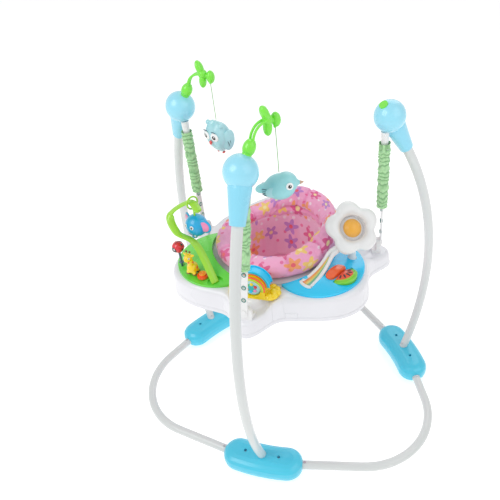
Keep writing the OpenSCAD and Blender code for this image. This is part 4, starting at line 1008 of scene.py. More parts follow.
def padWidth(t):  # middle radius and half width of the roll
    c = padCut
    half = c["front"] + (c["back"] - c["front"]) * backShare(t)
    return c["out"] - half, half


def padRise(t):  # middle height and half height of the roll
    top = padCut["rise"] + padCut["backRise"] * backShare(t)
    return (padCut["low"] + top) / 2, (top - padCut["low"]) / 2


def padSpot(t, a, fill):  # a runs round the roll's section: 0 outside, 90 top, 180 inside
    c, back = padCut, backShare(t)
    (across, wide), (mid, half) = padWidth(t), padRise(t)
    co, si = math.cos(a), math.sin(a)
    power = c["power"] + c["backPower"] * back
    thin = 1 - c["backThin"] * back * max(0, si)
    lean = c["backLean"] * back * (si + 1) / 2  # the back leans out a little at its top
    r = across + bowed(co, power) * wide * fill * thin + lean
    return r, mid + bowed(si, power) * (half - wide * (1 - fill))


def puff(obj):  # blows a closed cloth up like a stuffed cover
    c = padCut
    bpy.context.view_layer.objects.active = obj
    mod = obj.modifiers.new("cloth", "CLOTH")
    s = mod.settings
    s.use_pressure, s.uniform_pressure_force = True, c["pressure"]
    s.mass, s.tension_stiffness, s.compression_stiffness = c["mass"], c["stretch"], c["stretch"]
    s.bending_stiffness = c["bend"]
    s.effector_weights.gravity = 0
    mod.point_cache.frame_start, mod.point_cache.frame_end = 1, c["frames"]
    scene = bpy.context.scene
    for f in range(1, c["frames"] + 1):
        scene.frame_set(f)
    settle(obj)
    scene.frame_set(1)


def coordinates(obj):
    return np.array([v.co for v in obj.data.vertices])


def addPad():
    c = padCut
    rings = []
    for i in range(c["around"]):
        t = 360 * i / c["around"]
        rings.append([atTray(r, t, z) for r, z in (padSpot(t, a, c["shrink"]) for a in turns(c["section"]))])
    obj = loft("seatRoll", rings, "seat", loop=True)
    mod = obj.modifiers.new("even", "REMESH")
    mod.mode, mod.voxel_size = "VOXEL", c["voxel"]
    settle(obj)
    start = coordinates(obj)
    puff(obj)
    shift = coordinates(obj) - start
    size = np.linalg.norm(shift, axis=1)
    now = start + shift * np.minimum(1, c["cap"] / np.maximum(size, 1e-9))[:, None]
    obj.data.vertices.foreach_set("co", now.ravel())
    rounded(obj)
    sewPad(obj)
    dress([obj], "seat", "seat_pad")


# sewing: channels by degrees from the back's middle, puckers along them, gathers at the back's ends
sewCut = {"seams": (-64, -26, 26, 64, 100, 140, 180, 220, 260), "deep": 4.2, "half": 3.4, "puckers": 15,
          "puckerHalf": 13, "puckerFold": 0.5, "puckerDeep": 1.3, "waistDown": 3, "waistHalf": 4.5,
          "waistDeep": 5.0, "gatherAt": 66, "gatherHalf": 17, "gathers": 52, "gatherDeep": 1.7,
          "creases": ((1.5, 0.11, 2.1, 4.0), (0.8, 0.3, 4.5, 9.0)), "under": -0.6, "underShare": 0.3,
          "clothSection": 0.024, "clothBack": 0.2}


def sewPad(obj):
    c, me = sewCut, obj.data
    n = len(me.vertices)
    co, nor = np.empty(n * 3), np.empty(n * 3)
    me.vertices.foreach_get("co", co)
    me.vertex_normals.foreach_get("vector", nor)
    co, nor = co.reshape(n, 3), nor.reshape(n, 3)
    spots, paintedShade = [], []
    for k in range(n):
        x, y, z = co[k][0] - trayAxis.x, co[k][1] - trayAxis.y, co[k][2] / mm
        t, r = math.degrees(math.atan2(y, x)), math.hypot(x, y) / mm
        rel, back = turnFrom(t, padCut["az"]), backShare(t)
        (across, wide), (mid, half) = padWidth(t), padRise(t)
        a = math.atan2((z - mid) * wide / half, r - across)
        high, out = math.sin(a), math.cos(a)
        seam = math.radians(min(abs(turnFrom(rel, s)) for s in c["seams"])) * r
        upper = ease((high + 0.35) / 0.5)
        fold = bell(seam / c["half"]) * upper
        pucker = bell(seam / c["puckerHalf"]) * math.sin(a * c["puckers"] + 3 * wobble(t * 0.2, a))
        pucker *= c["puckerFold"] * upper
        waist = bell((z - (padCut["rise"] - c["waistDown"])) / c["waistHalf"])
        waist *= ease(back * 1.6 - 0.3) * ease((-out - 0.1) / 0.5)
        gather = math.sin(math.radians(rel) * c["gathers"] + 2.2 * wobble(a * 2, rel * 0.1))
        gather *= bell((abs(rel) - c["gatherAt"]) / c["gatherHalf"]) * max(0, high)
        crease = sum(deep * wobble(t * u, a * v, seed) for deep, u, v, seed in c["creases"])
        move = crease + c["puckerDeep"] * pucker + c["gatherDeep"] * gather
        move -= c["deep"] * fold + c["waistDeep"] * waist
        if high < c["under"]:
            move = min(move, 0) * c["underShare"]
        co[k] += nor[k] * move * mm
        section = c["clothSection"] + c["clothBack"] * padCut["backRise"] * back * mm
        spots.append((math.radians(t) * padCut["clothR"], a * section))
        # painted shade: darker in the sewn channels, at the waist and in the troughs of puckers and gathers
        dark = 0.75 * fold + 0.7 * waist + 0.25 * max(0, -pucker) + 0.25 * max(0, -gather)
        paintedShade.append(min(1.0, dark))
    me.vertices.foreach_set("co", co.ravel())
    me.polygons.foreach_set("use_smooth", [True] * len(me.polygons))
    mapRound(obj, spots, fullTurn * padCut["clothR"])
    paintFoldShade(obj, paintedShade)


addPad()
print("seat roll sewn")


# the bag under the roll, with two bound leg holes
bagCut = {"r": 126.6, "neck": 491, "top": 471, "neckShare": 0.1, "deep": 189, "rows": 84, "around": 216,
          "wall": 2 * mm, "legs": (116, 244), "legHalf": 28.5, "legFrom": 0.62, "legTo": 0.975,
          "binding": 3.4 * mm, "bindingSteps": 90, "creases": 8, "creaseDeep": 0.022, "belly": 2.6,
          "bellyEnd": 0.45, "crinkles": ((0.012, 0.09, 9, 0), (0.006, 0.3, 22, 3.0)), "gather": 0.004,
          "gathers": 46, "liningTo": 0.42, "liningRows": 30, "liningUp": 17, "liningGap": 2.6, "sag": 4,
          "clothR": 0.11, "clothDown": 0.24}


def bagSpot(t, s):  # s runs from 0 at the ring to 1 at the middle of the bottom
    c = bagCut
    depth, r = 0.0, 1.0
    z = c["neck"] + (c["top"] - c["neck"]) * s / c["neckShare"]
    if s >= c["neckShare"]:
        depth = math.sin((s - c["neckShare"]) / (1 - c["neckShare"]) * math.pi / 2)
        r = (1 - depth ** c["belly"]) ** c["bellyEnd"] if depth < 1 else 0.0
        z = c["top"] - c["deep"] * depth
    rel = math.radians(turnFrom(t, padCut["az"]))
    crease = c["creaseDeep"] * (1 + math.cos(c["creases"] * rel)) * min(1, depth * 4)
    crinkle = sum(high * wobble(t * x, s * y, seed) for high, x, y, seed in c["crinkles"])
    crinkle += c["gather"] * math.sin(rel * c["gathers"]) * math.exp(-depth * 7) * min(1, depth * 30)
    return r * c["r"] * (1 - crease + crinkle * min(1, depth * 6)), z


def bagFold(t):  # 1 on a crease
    return max(0.0, math.cos(bagCut["creases"] * math.radians(turnFrom(t, padCut["az"])))) ** 6


def bagCloth(t, v):
    return math.radians(turnFrom(t, 0)) * bagCut["clothR"], v


def legSpan():  # the bag's own measure of the holes' middle and half height
    c = bagCut
    low = c["neckShare"]
    a, b = (low + (1 - low) * math.asin(q) * 2 / math.pi for q in (c["legFrom"], c["legTo"]))
    return (a + b) / 2, (b - a) / 2


def legReach(t, s, leg):  # place in a leg hole's oval: 1 from the middle is the edge
    mid, half = legSpan()
    return turnFrom(t, padCut["az"] + leg) / bagCut["legHalf"], (s - mid) / half


def legEdge(leg, x, y):
    mid, half = legSpan()
    return padCut["az"] + leg + x * bagCut["legHalf"], mid + y * half


def sewn(obj, cloth, paintedShade, offset=-1):  # map, painted fold shade and wall of a cloth piece of the seat
    mapRound(obj, cloth, fullTurn * bagCut["clothR"])
    paintFoldShade(obj, paintedShade)
    walled(outward(obj), bagCut["wall"], offset)
    dress([obj], "seat", "seat_pad")


def addBag():
    c = bagCut
    n, m = c["rows"], c["around"]
    spot = [[(360 * j / m, i / n * 0.998) for j in range(m)] for i in range(n + 1)]
    keep, gone, faces = set(), set(), []
    for i in range(n):
        for j in range(m):
            k = (j + 1) % m
            quad = ((i, j), (i, k), (i + 1, k), (i + 1, j))
            middle = 360 * (j + 0.5) / m, (i + 0.5) / n
            if min(math.hypot(*legReach(*middle, leg)) for leg in c["legs"]) < 1:
                gone.update(quad)
            else:
                keep.update(quad)
                faces.append(quad)
    for i, j in keep & gone:  # the hole's edge lies on a true oval
        t, s = spot[i][j]
        leg = min(c["legs"], key=lambda g: abs(turnFrom(t, padCut["az"] + g)))
        x, y = legReach(t, s, leg)
        e = math.hypot(x, y)
        spot[i][j] = legEdge(leg, x / e, y / e)
    number = {v: i for i, v in enumerate(sorted(keep))}
    verts, cloth, paintedShade = [], [], []
    for i, j in number:
        t, s = spot[i][j]
        r, z = bagSpot(t, s)
        verts.append(atTray(r, t, z))
        cloth.append(bagCloth(t, -0.05 - s * c["clothDown"]))
        # painted shade in the bag's creases
        paintedShade.append(bagFold(t) * 0.6 * min(1, s * 3))
    faces = [tuple(number[v] for v in quad) for quad in faces]
    sewn(newObject("seatBag", verts, faces, "seat"), cloth, paintedShade)
    for k, leg in enumerate(c["legs"]):
        path = []
        for a in turns(c["bindingSteps"]):
            t, s = legEdge(leg, math.cos(a), math.sin(a))
            r, z = bagSpot(t, s)
            path.append(atTray(r, t, z))
        dress([tube(f"legBinding{k}", path, c["binding"], "trim", 14, closed=True)], "seat")


def addLining():  # carries on from the roll's inside down to the bag
    c = bagCut
    rings, paintedShade, cloth = [], [], []
    for i in range(c["liningRows"] + 1):
        f = i / c["liningRows"]
        ring = []
        for j in range(c["around"]):
            t = 360 * j / c["around"]
            across, wide = padWidth(t)
            top = across - wide * (0.9 - 0.25 * backShare(t))
            low, z1 = bagSpot(t, c["liningTo"])
            z0 = padCut["low"] + c["liningUp"]
            hang = math.sin(math.pi * f)
            r = top + (low - c["liningGap"] - top) * ease(f) + hang * (c["sag"] - 3 * bagFold(t))
            ring.append(atTray(r + 0.9 * wobble(t * 0.1, f * 5), t, z0 + (z1 - z0) * f))
            # painted shade in the lining's creases
            paintedShade.append(0.35 * bagFold(t))
            cloth.append(bagCloth(t, 0.1 - f * 0.11))
        rings.append(ring)
    sewn(sheet("seatLining", rings, "lining"), cloth, paintedShade, 0)


addBag()
addLining()
print("bag hung")


# play stations: where things stand on the two panels
def lobePoint(side, along, out, z):
    turn = Matrix.Rotation(math.radians(trayCut["playAz"][0 if side > 0 else 1]), 3, "Z")
    p = turn @ Vector((trayCut["panelAt"] + out, side * along, 0))
    return Vector((trayAxis.x + p.x * mm, trayAxis.y + p.y * mm, z * mm))


# the ribbon's places: shares of the panel's radius along and out, and of its height
archCut = {"along": (-0.827, -0.231, -0.038, 0.288, 0.13, -0.2),
           "out": (0.346, 0.53, 0.86, 0.88, 0.45, 0.34), "up": (0, 0.44, 0.64, 0.82, 1, 0.95),
           "rise": 158, "foot": 491, "width": 18, "thick": 5.4, "rib": 1.6, "ribShare": 0.42,
           "tipShare": 0.03, "steps": 120, "section": 28}


def spline(v, s):
    n = len(v) - 1
    i = min(n - 1, int(s * n))
    f = s * n - i
    a, b, c, d = v[max(0, i - 1)], v[i], v[i + 1], v[min(n, i + 2)]
    bend = (2 * a - 5 * b + 4 * c - d) * f * f + (3 * b - a - 3 * c + d) * f ** 3
    return (2 * b + (c - a) * f + bend) / 2


def archAt(s):
    c, r = archCut, trayCut["panelR"]
    height = c["foot"] + c["rise"] * spline(c["up"], s)
    return lobePoint(-1, r * spline(c["along"], s), r * spline(c["out"], s), height)


def addArch():  # a moulded ribbon with a rib along its middle and a round tip
    c = archCut
    rings = []
    for i in range(c["steps"] + 1):
        s = i / c["steps"]
        p = archAt(s)
        ahead = (archAt(min(1, s + 0.004)) - archAt(max(0, s - 0.004))).normalized()
        wide = skyward.cross(ahead).normalized()
        thick = ahead.cross(wide)
        tip = math.sqrt(max(0.02, 1 - (max(0, s - 1 + c["tipShare"]) / c["tipShare"]) ** 2))
        w, h = c["width"] / 2 * tip * mm, c["thick"] / 2 * mm
        ring = []
        for a in turns(c["section"]):
            x, y = bowed(math.cos(a), 0.55) * w, bowed(math.sin(a), 0.7) * h
            y += math.copysign(c["rib"] * mm * bell(x / (w * c["ribShare"])), math.sin(a))
            ring.append(p + wide * x + thick * y)
        rings.append(ring)
    dress([loft("ribbonArch", rings, "arch", capped=True)], "tray", "green_arch")


addArch()


# what the animals share; places and radii are in millimetres
def twins(name, place, radii, look, ahead=None, steps=24, unit=mm):  # one on each side
    x, y, z = place
    made = []
    for s in (-1, 1):
        turn = facing(s * ahead[0], *ahead[1:]) if ahead else None
        made.append(ball(f"{name}{s}", (s * x, y, z), radii, look, turn, steps, unit))
    return made


def eyes(name, place, ahead, size, pupil, shine=True, across=0):  # white discs, dark pupils and a glint
    made = []
    for k, s in enumerate((-1, 1)):
        p, look = Vector(place), Vector(ahead).normalized()
        p[across] *= s
        look[across] *= s
        turn = look.to_track_quat("Z", "Y")
        front = p + look * size * 0.2
        made.append(ball(f"{name}White{k}", p, (size, size, size * 0.3), "eye", turn))
        made.append(ball(f"{name}Pupil{k}", front, (pupil, pupil, pupil * 0.35), "black", turn))
        if shine:
            front += look * pupil * 0.3 + turn @ Vector((pupil * 0.3, pupil * 0.4, 0))
            radii = pupil * 0.28, pupil * 0.28, pupil * 0.12
            made.append(ball(f"{name}Glint{k}", front, radii, "eye", turn, 12))
    return made


def leaning(x, z):
    return Vector((x, 0, z)).to_track_quat("X", "Z")


def plump(size, ends):  # a radius that swells between two thin ends
    return lambda f: size * mm * (ends + math.sin(math.pi * f))


def narrowing(start, loss):
    return lambda f: (start - loss * f) * mm


quarters = (0, 0.25, 0.5, 0.75, 1)

# the hanging owl: a boxy rounded body with tufts, wings and big eyes
owlCut = {"h": 80, "w": 58, "d": 50, "turn": -26, "lean": 9, "rows": 40, "around": 48, "box": 0.66,
          "shoulder": 0.4, "taper": 0.22, "taperPower": 1.6, "tuft": 5, "eyeUp": 0.66, "eyeOut": 0.43,
          "wingOut": 0.95, "beak": ((0.92, 0.53), (1.07, 0.5), (1.08, 0.45), (1.0, 0.42))}


def owlShell(w, d, h):
    c = owlCut
    rings = []
    for i in range(c["rows"] + 1):
        s = i / c["rows"]
        wide = max(0.02, math.sin(math.pi * s) ** c["shoulder"])
        wide *= 1 - c["taper"] * (1 - s) ** c["taperPower"]
        ring = []
        for b in turns(c["around"]):
            x, y = bowed(math.cos(b), c["box"]) * w * wide, bowed(math.sin(b), c["box"]) * d * wide
            tuft = max(0, s - 0.8) / 0.2 * c["tuft"] * (math.cos(b) ** 2 * 1.3 - 0.35)
            ring.append(at(x, y, h * (0.04 + 0.92 * s) + tuft))
        rings.append(ring)
    return loft("owlBody", rings, "owl", capped=True)


def addOwl():
    c = owlCut
    w, d, h = c["w"] / 2, c["d"] / 2, c["h"]
    tufts = twins("owlTuft", (w * 0.7, -2, h * 0.91), (6, 6, 6), "owl", (0.7, -0.2, 1))
    made = [moulded("owlBody", [owlShell(w, d, h)] + tufts, "owl", 1.5 * mm, 8)]
    wing = w * c["wingOut"]
    for s in (-1, 1):
        turn = facing(s * 0.12, 0.25, 1)
        made.append(ball(f"owlWing{s}", (s * wing, 4, h * 0.45), (4.5, 14, 25), "owl", turn, 32))
        for k in (-1, 0, 1):
            path = [at(s * (wing + 4.4 * math.cos(f * 1.1 - 0.3)), 4 + k * 7 * (1 - 0.35 * f),
                       h * (0.5 - 0.2 * f) - abs(k) * 2) for f in quarters]
            made.append(tube(f"owlFold{s}{k + 1}", path, plump(0.7, 0.3), "slate", 8))
    made += eyes("owlEye", (w * c["eyeOut"], -d * 0.86, h * c["eyeUp"]), (0.18, -1, 0.06), 10.5, 5.4)
    for s in (-1, 1):
        path = []
        for b in (math.radians(v) for v in range(-38, 44, 6)):
            x = s * w * (c["eyeOut"] + 0.4 * math.sin(b))
            path.append(at(x, -d * 0.92 + abs(math.sin(b)) * 1.5, h * c["eyeUp"] + 13.2 * math.cos(b) + 0.5))
        made.append(tube(f"owlBrow{s}", path, plump(0.85, 0.35), "slate", 8))
    beak = [at(0, -d * out, h * up) for out, up in c["beak"]]
    made.append(rounded(tube("owlBeak", beak, narrowing(4.6, 3.4), "coral", 14)))
    made += twins("owlFoot", (8, -4, h * 0.035), (3, 4.4, 2.2), "coral")
    low, _ = axisOf("owl_string")
    middle = Matrix.Translation(at(0, 0, h / 2))
    lean = middle @ Matrix.Rotation(math.radians(c["lean"]), 4, "X") @ middle.inverted()
    place = placed(Vector((low.x, low.y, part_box("owl")[0].z)), c["turn"])
    dress(made, "owl_body", "owl", place @ lean)


# the hanging bird: plump body, cocked tail with feather lines
birdCut = {"turn": 18, "drop": 29, "beak": ((37, 4), (40, 3.8), (43.5, 4), (46, 4.6)), "feathers": 4}


def addBird():
    c = birdCut
    parts = [ball("birdTrunk", (0, 0, -2), (31, 25, 26), "bird"),
             ball("birdHead", (12, 0, 5), (23, 21.5, 22), "bird"),
             ball("birdTail", (-28, 0, -2), (21, 14, 9), "bird", leaning(1, 0.12)),
             ball("birdRump", (-17, 0, -5), (20, 18, 17), "bird"),
             ball("birdBrow", (31, 0, 4), (10, 6.5, 6), "bird")]
    made = [moulded("birdBody", parts, "bird", 1.5 * mm, 12)]
    beak = [at(x, 0, z) for x, z in c["beak"]]
    made.append(rounded(tube("birdBeak", beak, narrowing(4.8, 3.9), "beak", 14)))
    for s in (-1, 1):
        turn = leaning(1, 0.35) @ Matrix.Rotation(0.2 * s, 3, "Z").to_quaternion()
        made.append(ball(f"birdWing{s}", (-12, s * 18.4, -3), (18, 3.2, 11.5), "owl", turn, 32))
        for k in range(c["feathers"]):
            up = 4.6 * (k - (c["feathers"] - 1) / 2)
            path = [at(-35 + 8 * f, s * (11.8 + 2.6 * f), -3.5 + up * (0.8 + 0.2 * f) - 2 * f)
                    for f in quarters]
            made.append(tube(f"birdFeather{s}{k}", path, 0.9 * mm, "slate", 8))
    made += eyes("birdEye", (18, 20.3, 8), (0.28, 1, 0.16), 7.4, 4.0, across=1)
    low, _ = axisOf("bird_string")
    middle = Vector((low.x, low.y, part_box("bird")[0].z + c["drop"] * mm))
    dress(made, "bird_body", "bird", placed(middle, c["turn"]))


# the elephant on the arch: round head, big ears, hanging trunk and a ring
elephantCut = {"turn": -25, "hang": 0.84, "drop": 58, "loop": 14, "loopSteps": 64, "wire": 4, "link": 2.5,
               "linkDown": (14, 20, 31, 36),
               "trunk": ((-5, -11), (-7.5, -16), (-9.5, -20.5), (-11, -24), (-12.2, -26.6), (-13, -28.4))}


def addElephant():
    c = elephantCut
    parts = [ball("elephantHead", (0, 0, 0), (26, 25, 26), "elephant", None, 40),
             tube("elephantTrunk", [at(0, y, z) for y, z in c["trunk"]], narrowing(10.4, 5), "elephant", 20)]
    parts += twins("elephantCheek", (9, -11, -9), (11, 9, 9), "elephant")
    made = [moulded("elephantHead", parts, "elephant", 1.5 * mm, 8)]
    for s in (-1, 1):
        turn = facing(s * 0.35, -1, 0.05)
        made.append(ball(f"elephantEar{s}", (s * 27, 1, 5), (16, 17, 3.6), "elephant", turn, 32))
        made.append(ball(f"elephantEarIn{s}", (s * 27.7, -1.6, 5), (11.5, 12.5, 2.4), "pink", turn, 32))
    made += eyes("elephantEye", (9.5, -22.6, 7), (0.35, -1, 0.25), 4.6, 2.7)
    made.append(ball("elephantMouth", (0, -19.2, -13), (9, 3.6, 3.2), "navy"))
    made += twins("elephantTusk", (10, -17, -17), (2.0, 2.0, 4.0), "eye")
    made += [ball(f"elephantToe{k}", (-6 + 4 * k, -22.2, -13), (1.2, 1.0, 1.2), "eye", None, 12)
             for k in range(4)]
    middle = archAt(c["hang"])
    dress(made, "elephant_body", "elephant", placed(middle - at(0, 0, c["drop"]), c["turn"]))
    ahead = archAt(c["hang"] + 0.02) - archAt(c["hang"] - 0.02)
    side = Vector((-ahead.y, ahead.x, 0)).normalized()
    path = [middle + (side * math.cos(a) + skyward * math.sin(a)) * c["loop"] * mm
            for a in turns(c["loopSteps"])]
    down = [middle - at(0, 0, z) for z in c["linkDown"]]
    hanger = [tube("elephantRing", path, c["wire"] / 2 * mm, "arch", 16, closed=True),
              tube("elephantLink", down, c["link"] * mm, "arch", 16)]
    dress(hanger, "elephant_body", "elephant")


# ladybird, giraffe and knob on their posts: places along and out on the panel
postCut = {"ladybird": (4, 94), "giraffe": (-38, 76), "knob": (-59, 58)}
ladybirdCut = {"r": 14, "high": 13.6, "turn": -25, "post": 2.8, "postRows": (-40, -20, -9),
               "dots": ((20, 50), (160, 50), (55, 95), (125, 95), (0, 100), (180, 100), (90, 50)),
               "collar": ((6, 12.4), (6, 14), (4.4, 15.4), (2.9, 16.6))}


def addLadybird():
    c = ladybirdCut
    lo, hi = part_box("ladybird")
    centre = lobePoint(-1, *postCut["ladybird"], hi.z / mm - c["r"])
    low = (lo.z - centre.z) / mm
    made = [ball("ladybirdShell", (0, 0, 0), (c["r"], c["r"], c["high"]), "red", None, 40),
            ball("ladybirdHead", (0, -9.5, -1), (8, 6.5, 7.5), "black", None, 28)]
    for k, (az, down) in enumerate(c["dots"]):
        a, b = math.radians(az), math.radians(down)
        x, y, z = math.sin(b) * math.cos(a), math.sin(b) * math.sin(a), math.cos(b)
        spot = Vector((c["r"] * x, c["r"] * y, c["high"] * z)) * 0.985
        made.append(ball(f"ladybirdDot{k}", spot, (2.9, 2.9, 0.8), "black", facing(x, y, z), 16))
    seam = [at(0, 14.1 * math.sin(a), 13.7 * math.cos(a)) for a in map(math.radians, range(-30, 140, 10))]
    made.append(tube("ladybirdSeam", seam, 0.7 * mm, "black", 8))
    made += eyes("ladybirdEye", (3.6, -14.6, 1.6), (0.4, -1, 0.2), 2.3, 1.2, shine=False)
    post = [at(0, 0, z) for z in (low + 0.2, *c["postRows"])]
    made.append(tube("ladybirdPost", post, c["post"] * mm, "slate", 20))
    rings = [[at(r * math.cos(a), r * math.sin(a), low + z) for a in turns(32)] for r, z in c["collar"]]
    made.append(loft("ladybirdCollar", rings, "slate", capped=True))
    dress(made, "ladybird_body", "ladybird", placed(centre, c["turn"]))


# the giraffe, in units that size it; a patch has its place, radii and facing, and a twin if off the middle
giraffeCut = {"unit": 1.2 * mm, "high": 55.5, "turn": -10,
              "horn": ((3, -3, 47), (3.4, -2.6, 50), (3.6, -2.4, 53)),
              "patches": (((10.3, 2, 16), (3.2, 2.6, 0.9), (1, 0, 0.1)),
                          ((5.9, -2, 30), (2.3, 2.2, 0.9), (1, 0, 0)),
                          ((8.2, 7, 9), (2.4, 2.2, 0.9), (1, 0.5, 0)),
                          ((0, -8, 32), (2.4, 2.4, 0.9), (0, -1, 0.1)))}


def addGiraffe():
    c = giraffeCut
    unit = c["unit"]

    def blob(name, place, radii, look, steps, turn=None):
        return ball(name, place, radii, look, turn, steps, unit)

    parts = [blob("giraffeBody", (0, 1.5, 14), (10.5, 12, 12), "yellow", 28),
             blob("giraffeNeck", (0, -2, 29), (6.2, 6.2, 14), "yellow", 24),
             blob("giraffeHead", (0, -5, 42), (7.6, 9.5, 7.2), "yellow", 28),
             blob("giraffeNose", (0, -11, 40), (5.6, 5, 4.6), "yellow", 24)]
    corners = [(x, y) for x in (-1, 1) for y in (-1, 1)]
    parts += [blob(f"giraffeLeg{x}{y}", (x * 6.6, y * 6 + 1, 6), (3.7, 3.7, 6.4), "yellow", 20)
              for x, y in corners]
    parts += [blob(f"giraffeEar{s}", (s * 8.5, -2, 46), (4.4, 2, 2.6), "yellow", 16, leaning(s, 0.5))
              for s in (-1, 1)]
    made = [moulded("giraffeBody", parts, "yellow", 1.1 * mm, 6)]
    made += [blob(f"giraffeHoof{x}{y}", (x * 6.8, y * 6.2 + 1, 3.9), (4.2, 4.2, 2.3), "brown", 20)
             for x, y in corners]
    for s in (-1, 1):
        horn = [Vector((s * x, y, z)) * unit for x, y, z in c["horn"]]
        made.append(rounded(tube(f"giraffeHorn{s}", horn, 1.3 * mm, "yellow", 10)))
    made += twins("giraffeTip", (3.6, -2.4, 53.4), (2.1, 2.1, 2.1), "brown", None, 16, unit)
    patches = []
    for (x, y, z), radii, (fx, fy, fz) in c["patches"]:
        for s in (1, -1) if x else (1,):
            name, turn = f"giraffePatch{len(patches)}", facing(s * fx, fy, fz)
            patches.append(blob(name, (s * x, y, z), radii, "orange", 16, turn))
    eyeAt = Vector((5.6, -11, 44.4)) * unit / mm
    made += patches + eyes("giraffeEye", eyeAt, (0.75, -1, 0.35), 2.2, 1.3, shine=False)
    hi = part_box("giraffe")[1]
    centre = lobePoint(-1, *postCut["giraffe"], (hi.z - c["high"] * unit) / mm)
    dress(made, "giraffe_body", "giraffe", placed(centre, c["turn"]))


# thick leaves and a bulb-shaped plug on each toy arm: place along the arm, height, lean and radii
leafCut = {"front": "bird_string", "left": "owl_string", "plugTilt": 32, "plugUp": 12,
           "plugSize": (12, 12, 16.5),
           "leaves": ((63.5, 88, -20, (7.6, 10.5, 15.6)), (67, 61, 5, (7.6, 10, 15)),
                      (86.4, 70, 0, (8.7, 10, 13.5)))}


def addLeaves():
    c = leafCut
    tilt = math.radians(c["plugTilt"])
    for side in ("front", "left"):
        lo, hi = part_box("head_ball_" + side)
        middle = (lo + hi) / 2
        ahead = axisOf(c[side])[1] - middle
        up = (hi.z - lo.z) / 2 / mm + c["plugUp"]
        plug = (up * math.sin(tilt), up * math.cos(tilt), c["plugTilt"], c["plugSize"])
        made = []
        for k, (x, z, degrees, radii) in enumerate((*c["leaves"], plug)):
            turn = Matrix.Rotation(math.radians(degrees), 3, "Y").to_quaternion()
            made.append(ball(f"leaf{side.title()}{k}", (x, 0, z), radii, "lime", turn, 32))
        dress(made, "frame", place=placed(middle, math.degrees(math.atan2(ahead.y, ahead.x))))


addLeaves()
addOwl()
addBird()
addElephant()
addLadybird()
addGiraffe()
print("animals moulded")


# the flower: five soft petals round a lamp under a clear dome, on a swelling neck
flowerCut = {"along": 67, "out": 42, "up": 577, "az": -58, "tilt": 46, "petals": 5, "reach": 34, "petal": 28,
             "thick": 13, "dip": 5, "dipOver": 17, "blur": 0.06, "hole": 28.8, "steps": 200,
             "domeRim": (29.8, 3.4, 1.1), "back": ((0, 0, -8), (27, 27, 9)),
             "neckRows": (489.2, 494, 500, 512, 528, 545, 560), "neckEnd": -9}


def flowerPlace():
    c = flowerCut
    turn = Matrix.Rotation(math.radians(c["az"]), 4, "Z") @ Matrix.Rotation(math.radians(c["tilt"]), 4, "Y")
    return Matrix.Translation(lobePoint(1, c["along"], c["out"], c["up"])) @ turn


def petalEdge(a):  # the outline of overlapping round petals
    c = flowerCut
    step = fullTurn / c["petals"]
    d = a % step - step / 2
    return c["reach"] * math.cos(d) + math.sqrt(c["petal"] ** 2 - (c["reach"] * math.sin(d)) ** 2)


def neckRadius(f):  # a bead near the foot, and a flare into the flower
    bead = 8 * bell(f / 0.16) * max(0, 0.12 - abs(f - 0.12)) / 0.12
    return (9 + bead + 7 * ease((f - 0.55) / 0.45)) * mm


def addFlower():
    c = flowerCut
    most, hole = c["reach"] + c["petal"], c["hole"]
    rings = []
    for a in turns(c["steps"]):
        reach = sum(petalEdge(a + k * c["blur"]) for k in range(-2, 3)) / 5
        high = c["thick"] - c["dip"] * (most - reach) / c["dipOver"]
        mid = hole + (reach - hole) * 0.5
        line = [(hole, -6), (hole, 3), (hole + 0.8, 4.6)]
        for b in (math.radians(130 - 10 * k) for k in range(23)):
            line.append((mid + (reach - mid) * math.cos(b), high * math.sin(b)))
        line += [(mid - 8, -high), (hole - 6, -high)]
        rings.append([at(r * math.cos(a), r * math.sin(a), z) for r, z in line])
    place = flowerPlace()
    body = rounded(loft("flowerPetals", rings, "white", loop=True))
    dress([body, ball("flowerBack", *c["back"], "white", None, 40)], "tray", "flower", place)
    path = [lobePoint(1, c["along"], c["out"], z) for z in c["neckRows"]] + [place @ at(0, 0, c["neckEnd"])]
    dress([tube("flowerNeck", path, neckRadius, "white", 28)], "tray", "flower")
    r, z, wire = c["domeRim"]
    rim = [place @ at(r * math.cos(b), r * math.sin(b), z) for b in turns(72)]
    dress([tube("domeRim", rim, wire * mm, "white", 12, closed=True)], "tray")


# the ramp: striped deck between two rails that run round its foot and on into the flower
rampCut = {"along": -70, "out": 24, "low": 494, "turn": 88, "bend": 104, "angle": 46, "rail": 4.4,
           "half": 14, "taper": 6, "deck": 2.2, "dish": 1.0, "under": -1.9, "rows": 40, "across": 24,
           "railRows": 12, "lead": 12, "swell": 2.5, "ends": ((1, (30, -30, -2)), (-1, (30, -10, -2)))}


def rampAt(share, side, lift=0.0):
    c = rampCut
    b = math.radians(c["angle"] * share)
    turn = Matrix.Rotation(math.radians(trayCut["playAz"][0] + c["turn"]), 3, "Z")
    r = c["bend"] - lift
    run = r * math.sin(b)
    aside = side * (c["half"] - run * math.tan(math.radians(c["taper"])))  # it narrows as it climbs
    foot = lobePoint(1, c["along"], c["out"], c["low"])
    return foot + turn @ at(run, aside, c["bend"] - r * math.cos(b))


def railRadius(f):  # swells into the flower
    return (rampCut["rail"] + rampCut["swell"] * ease((f - 0.72) / 0.28)) * mm


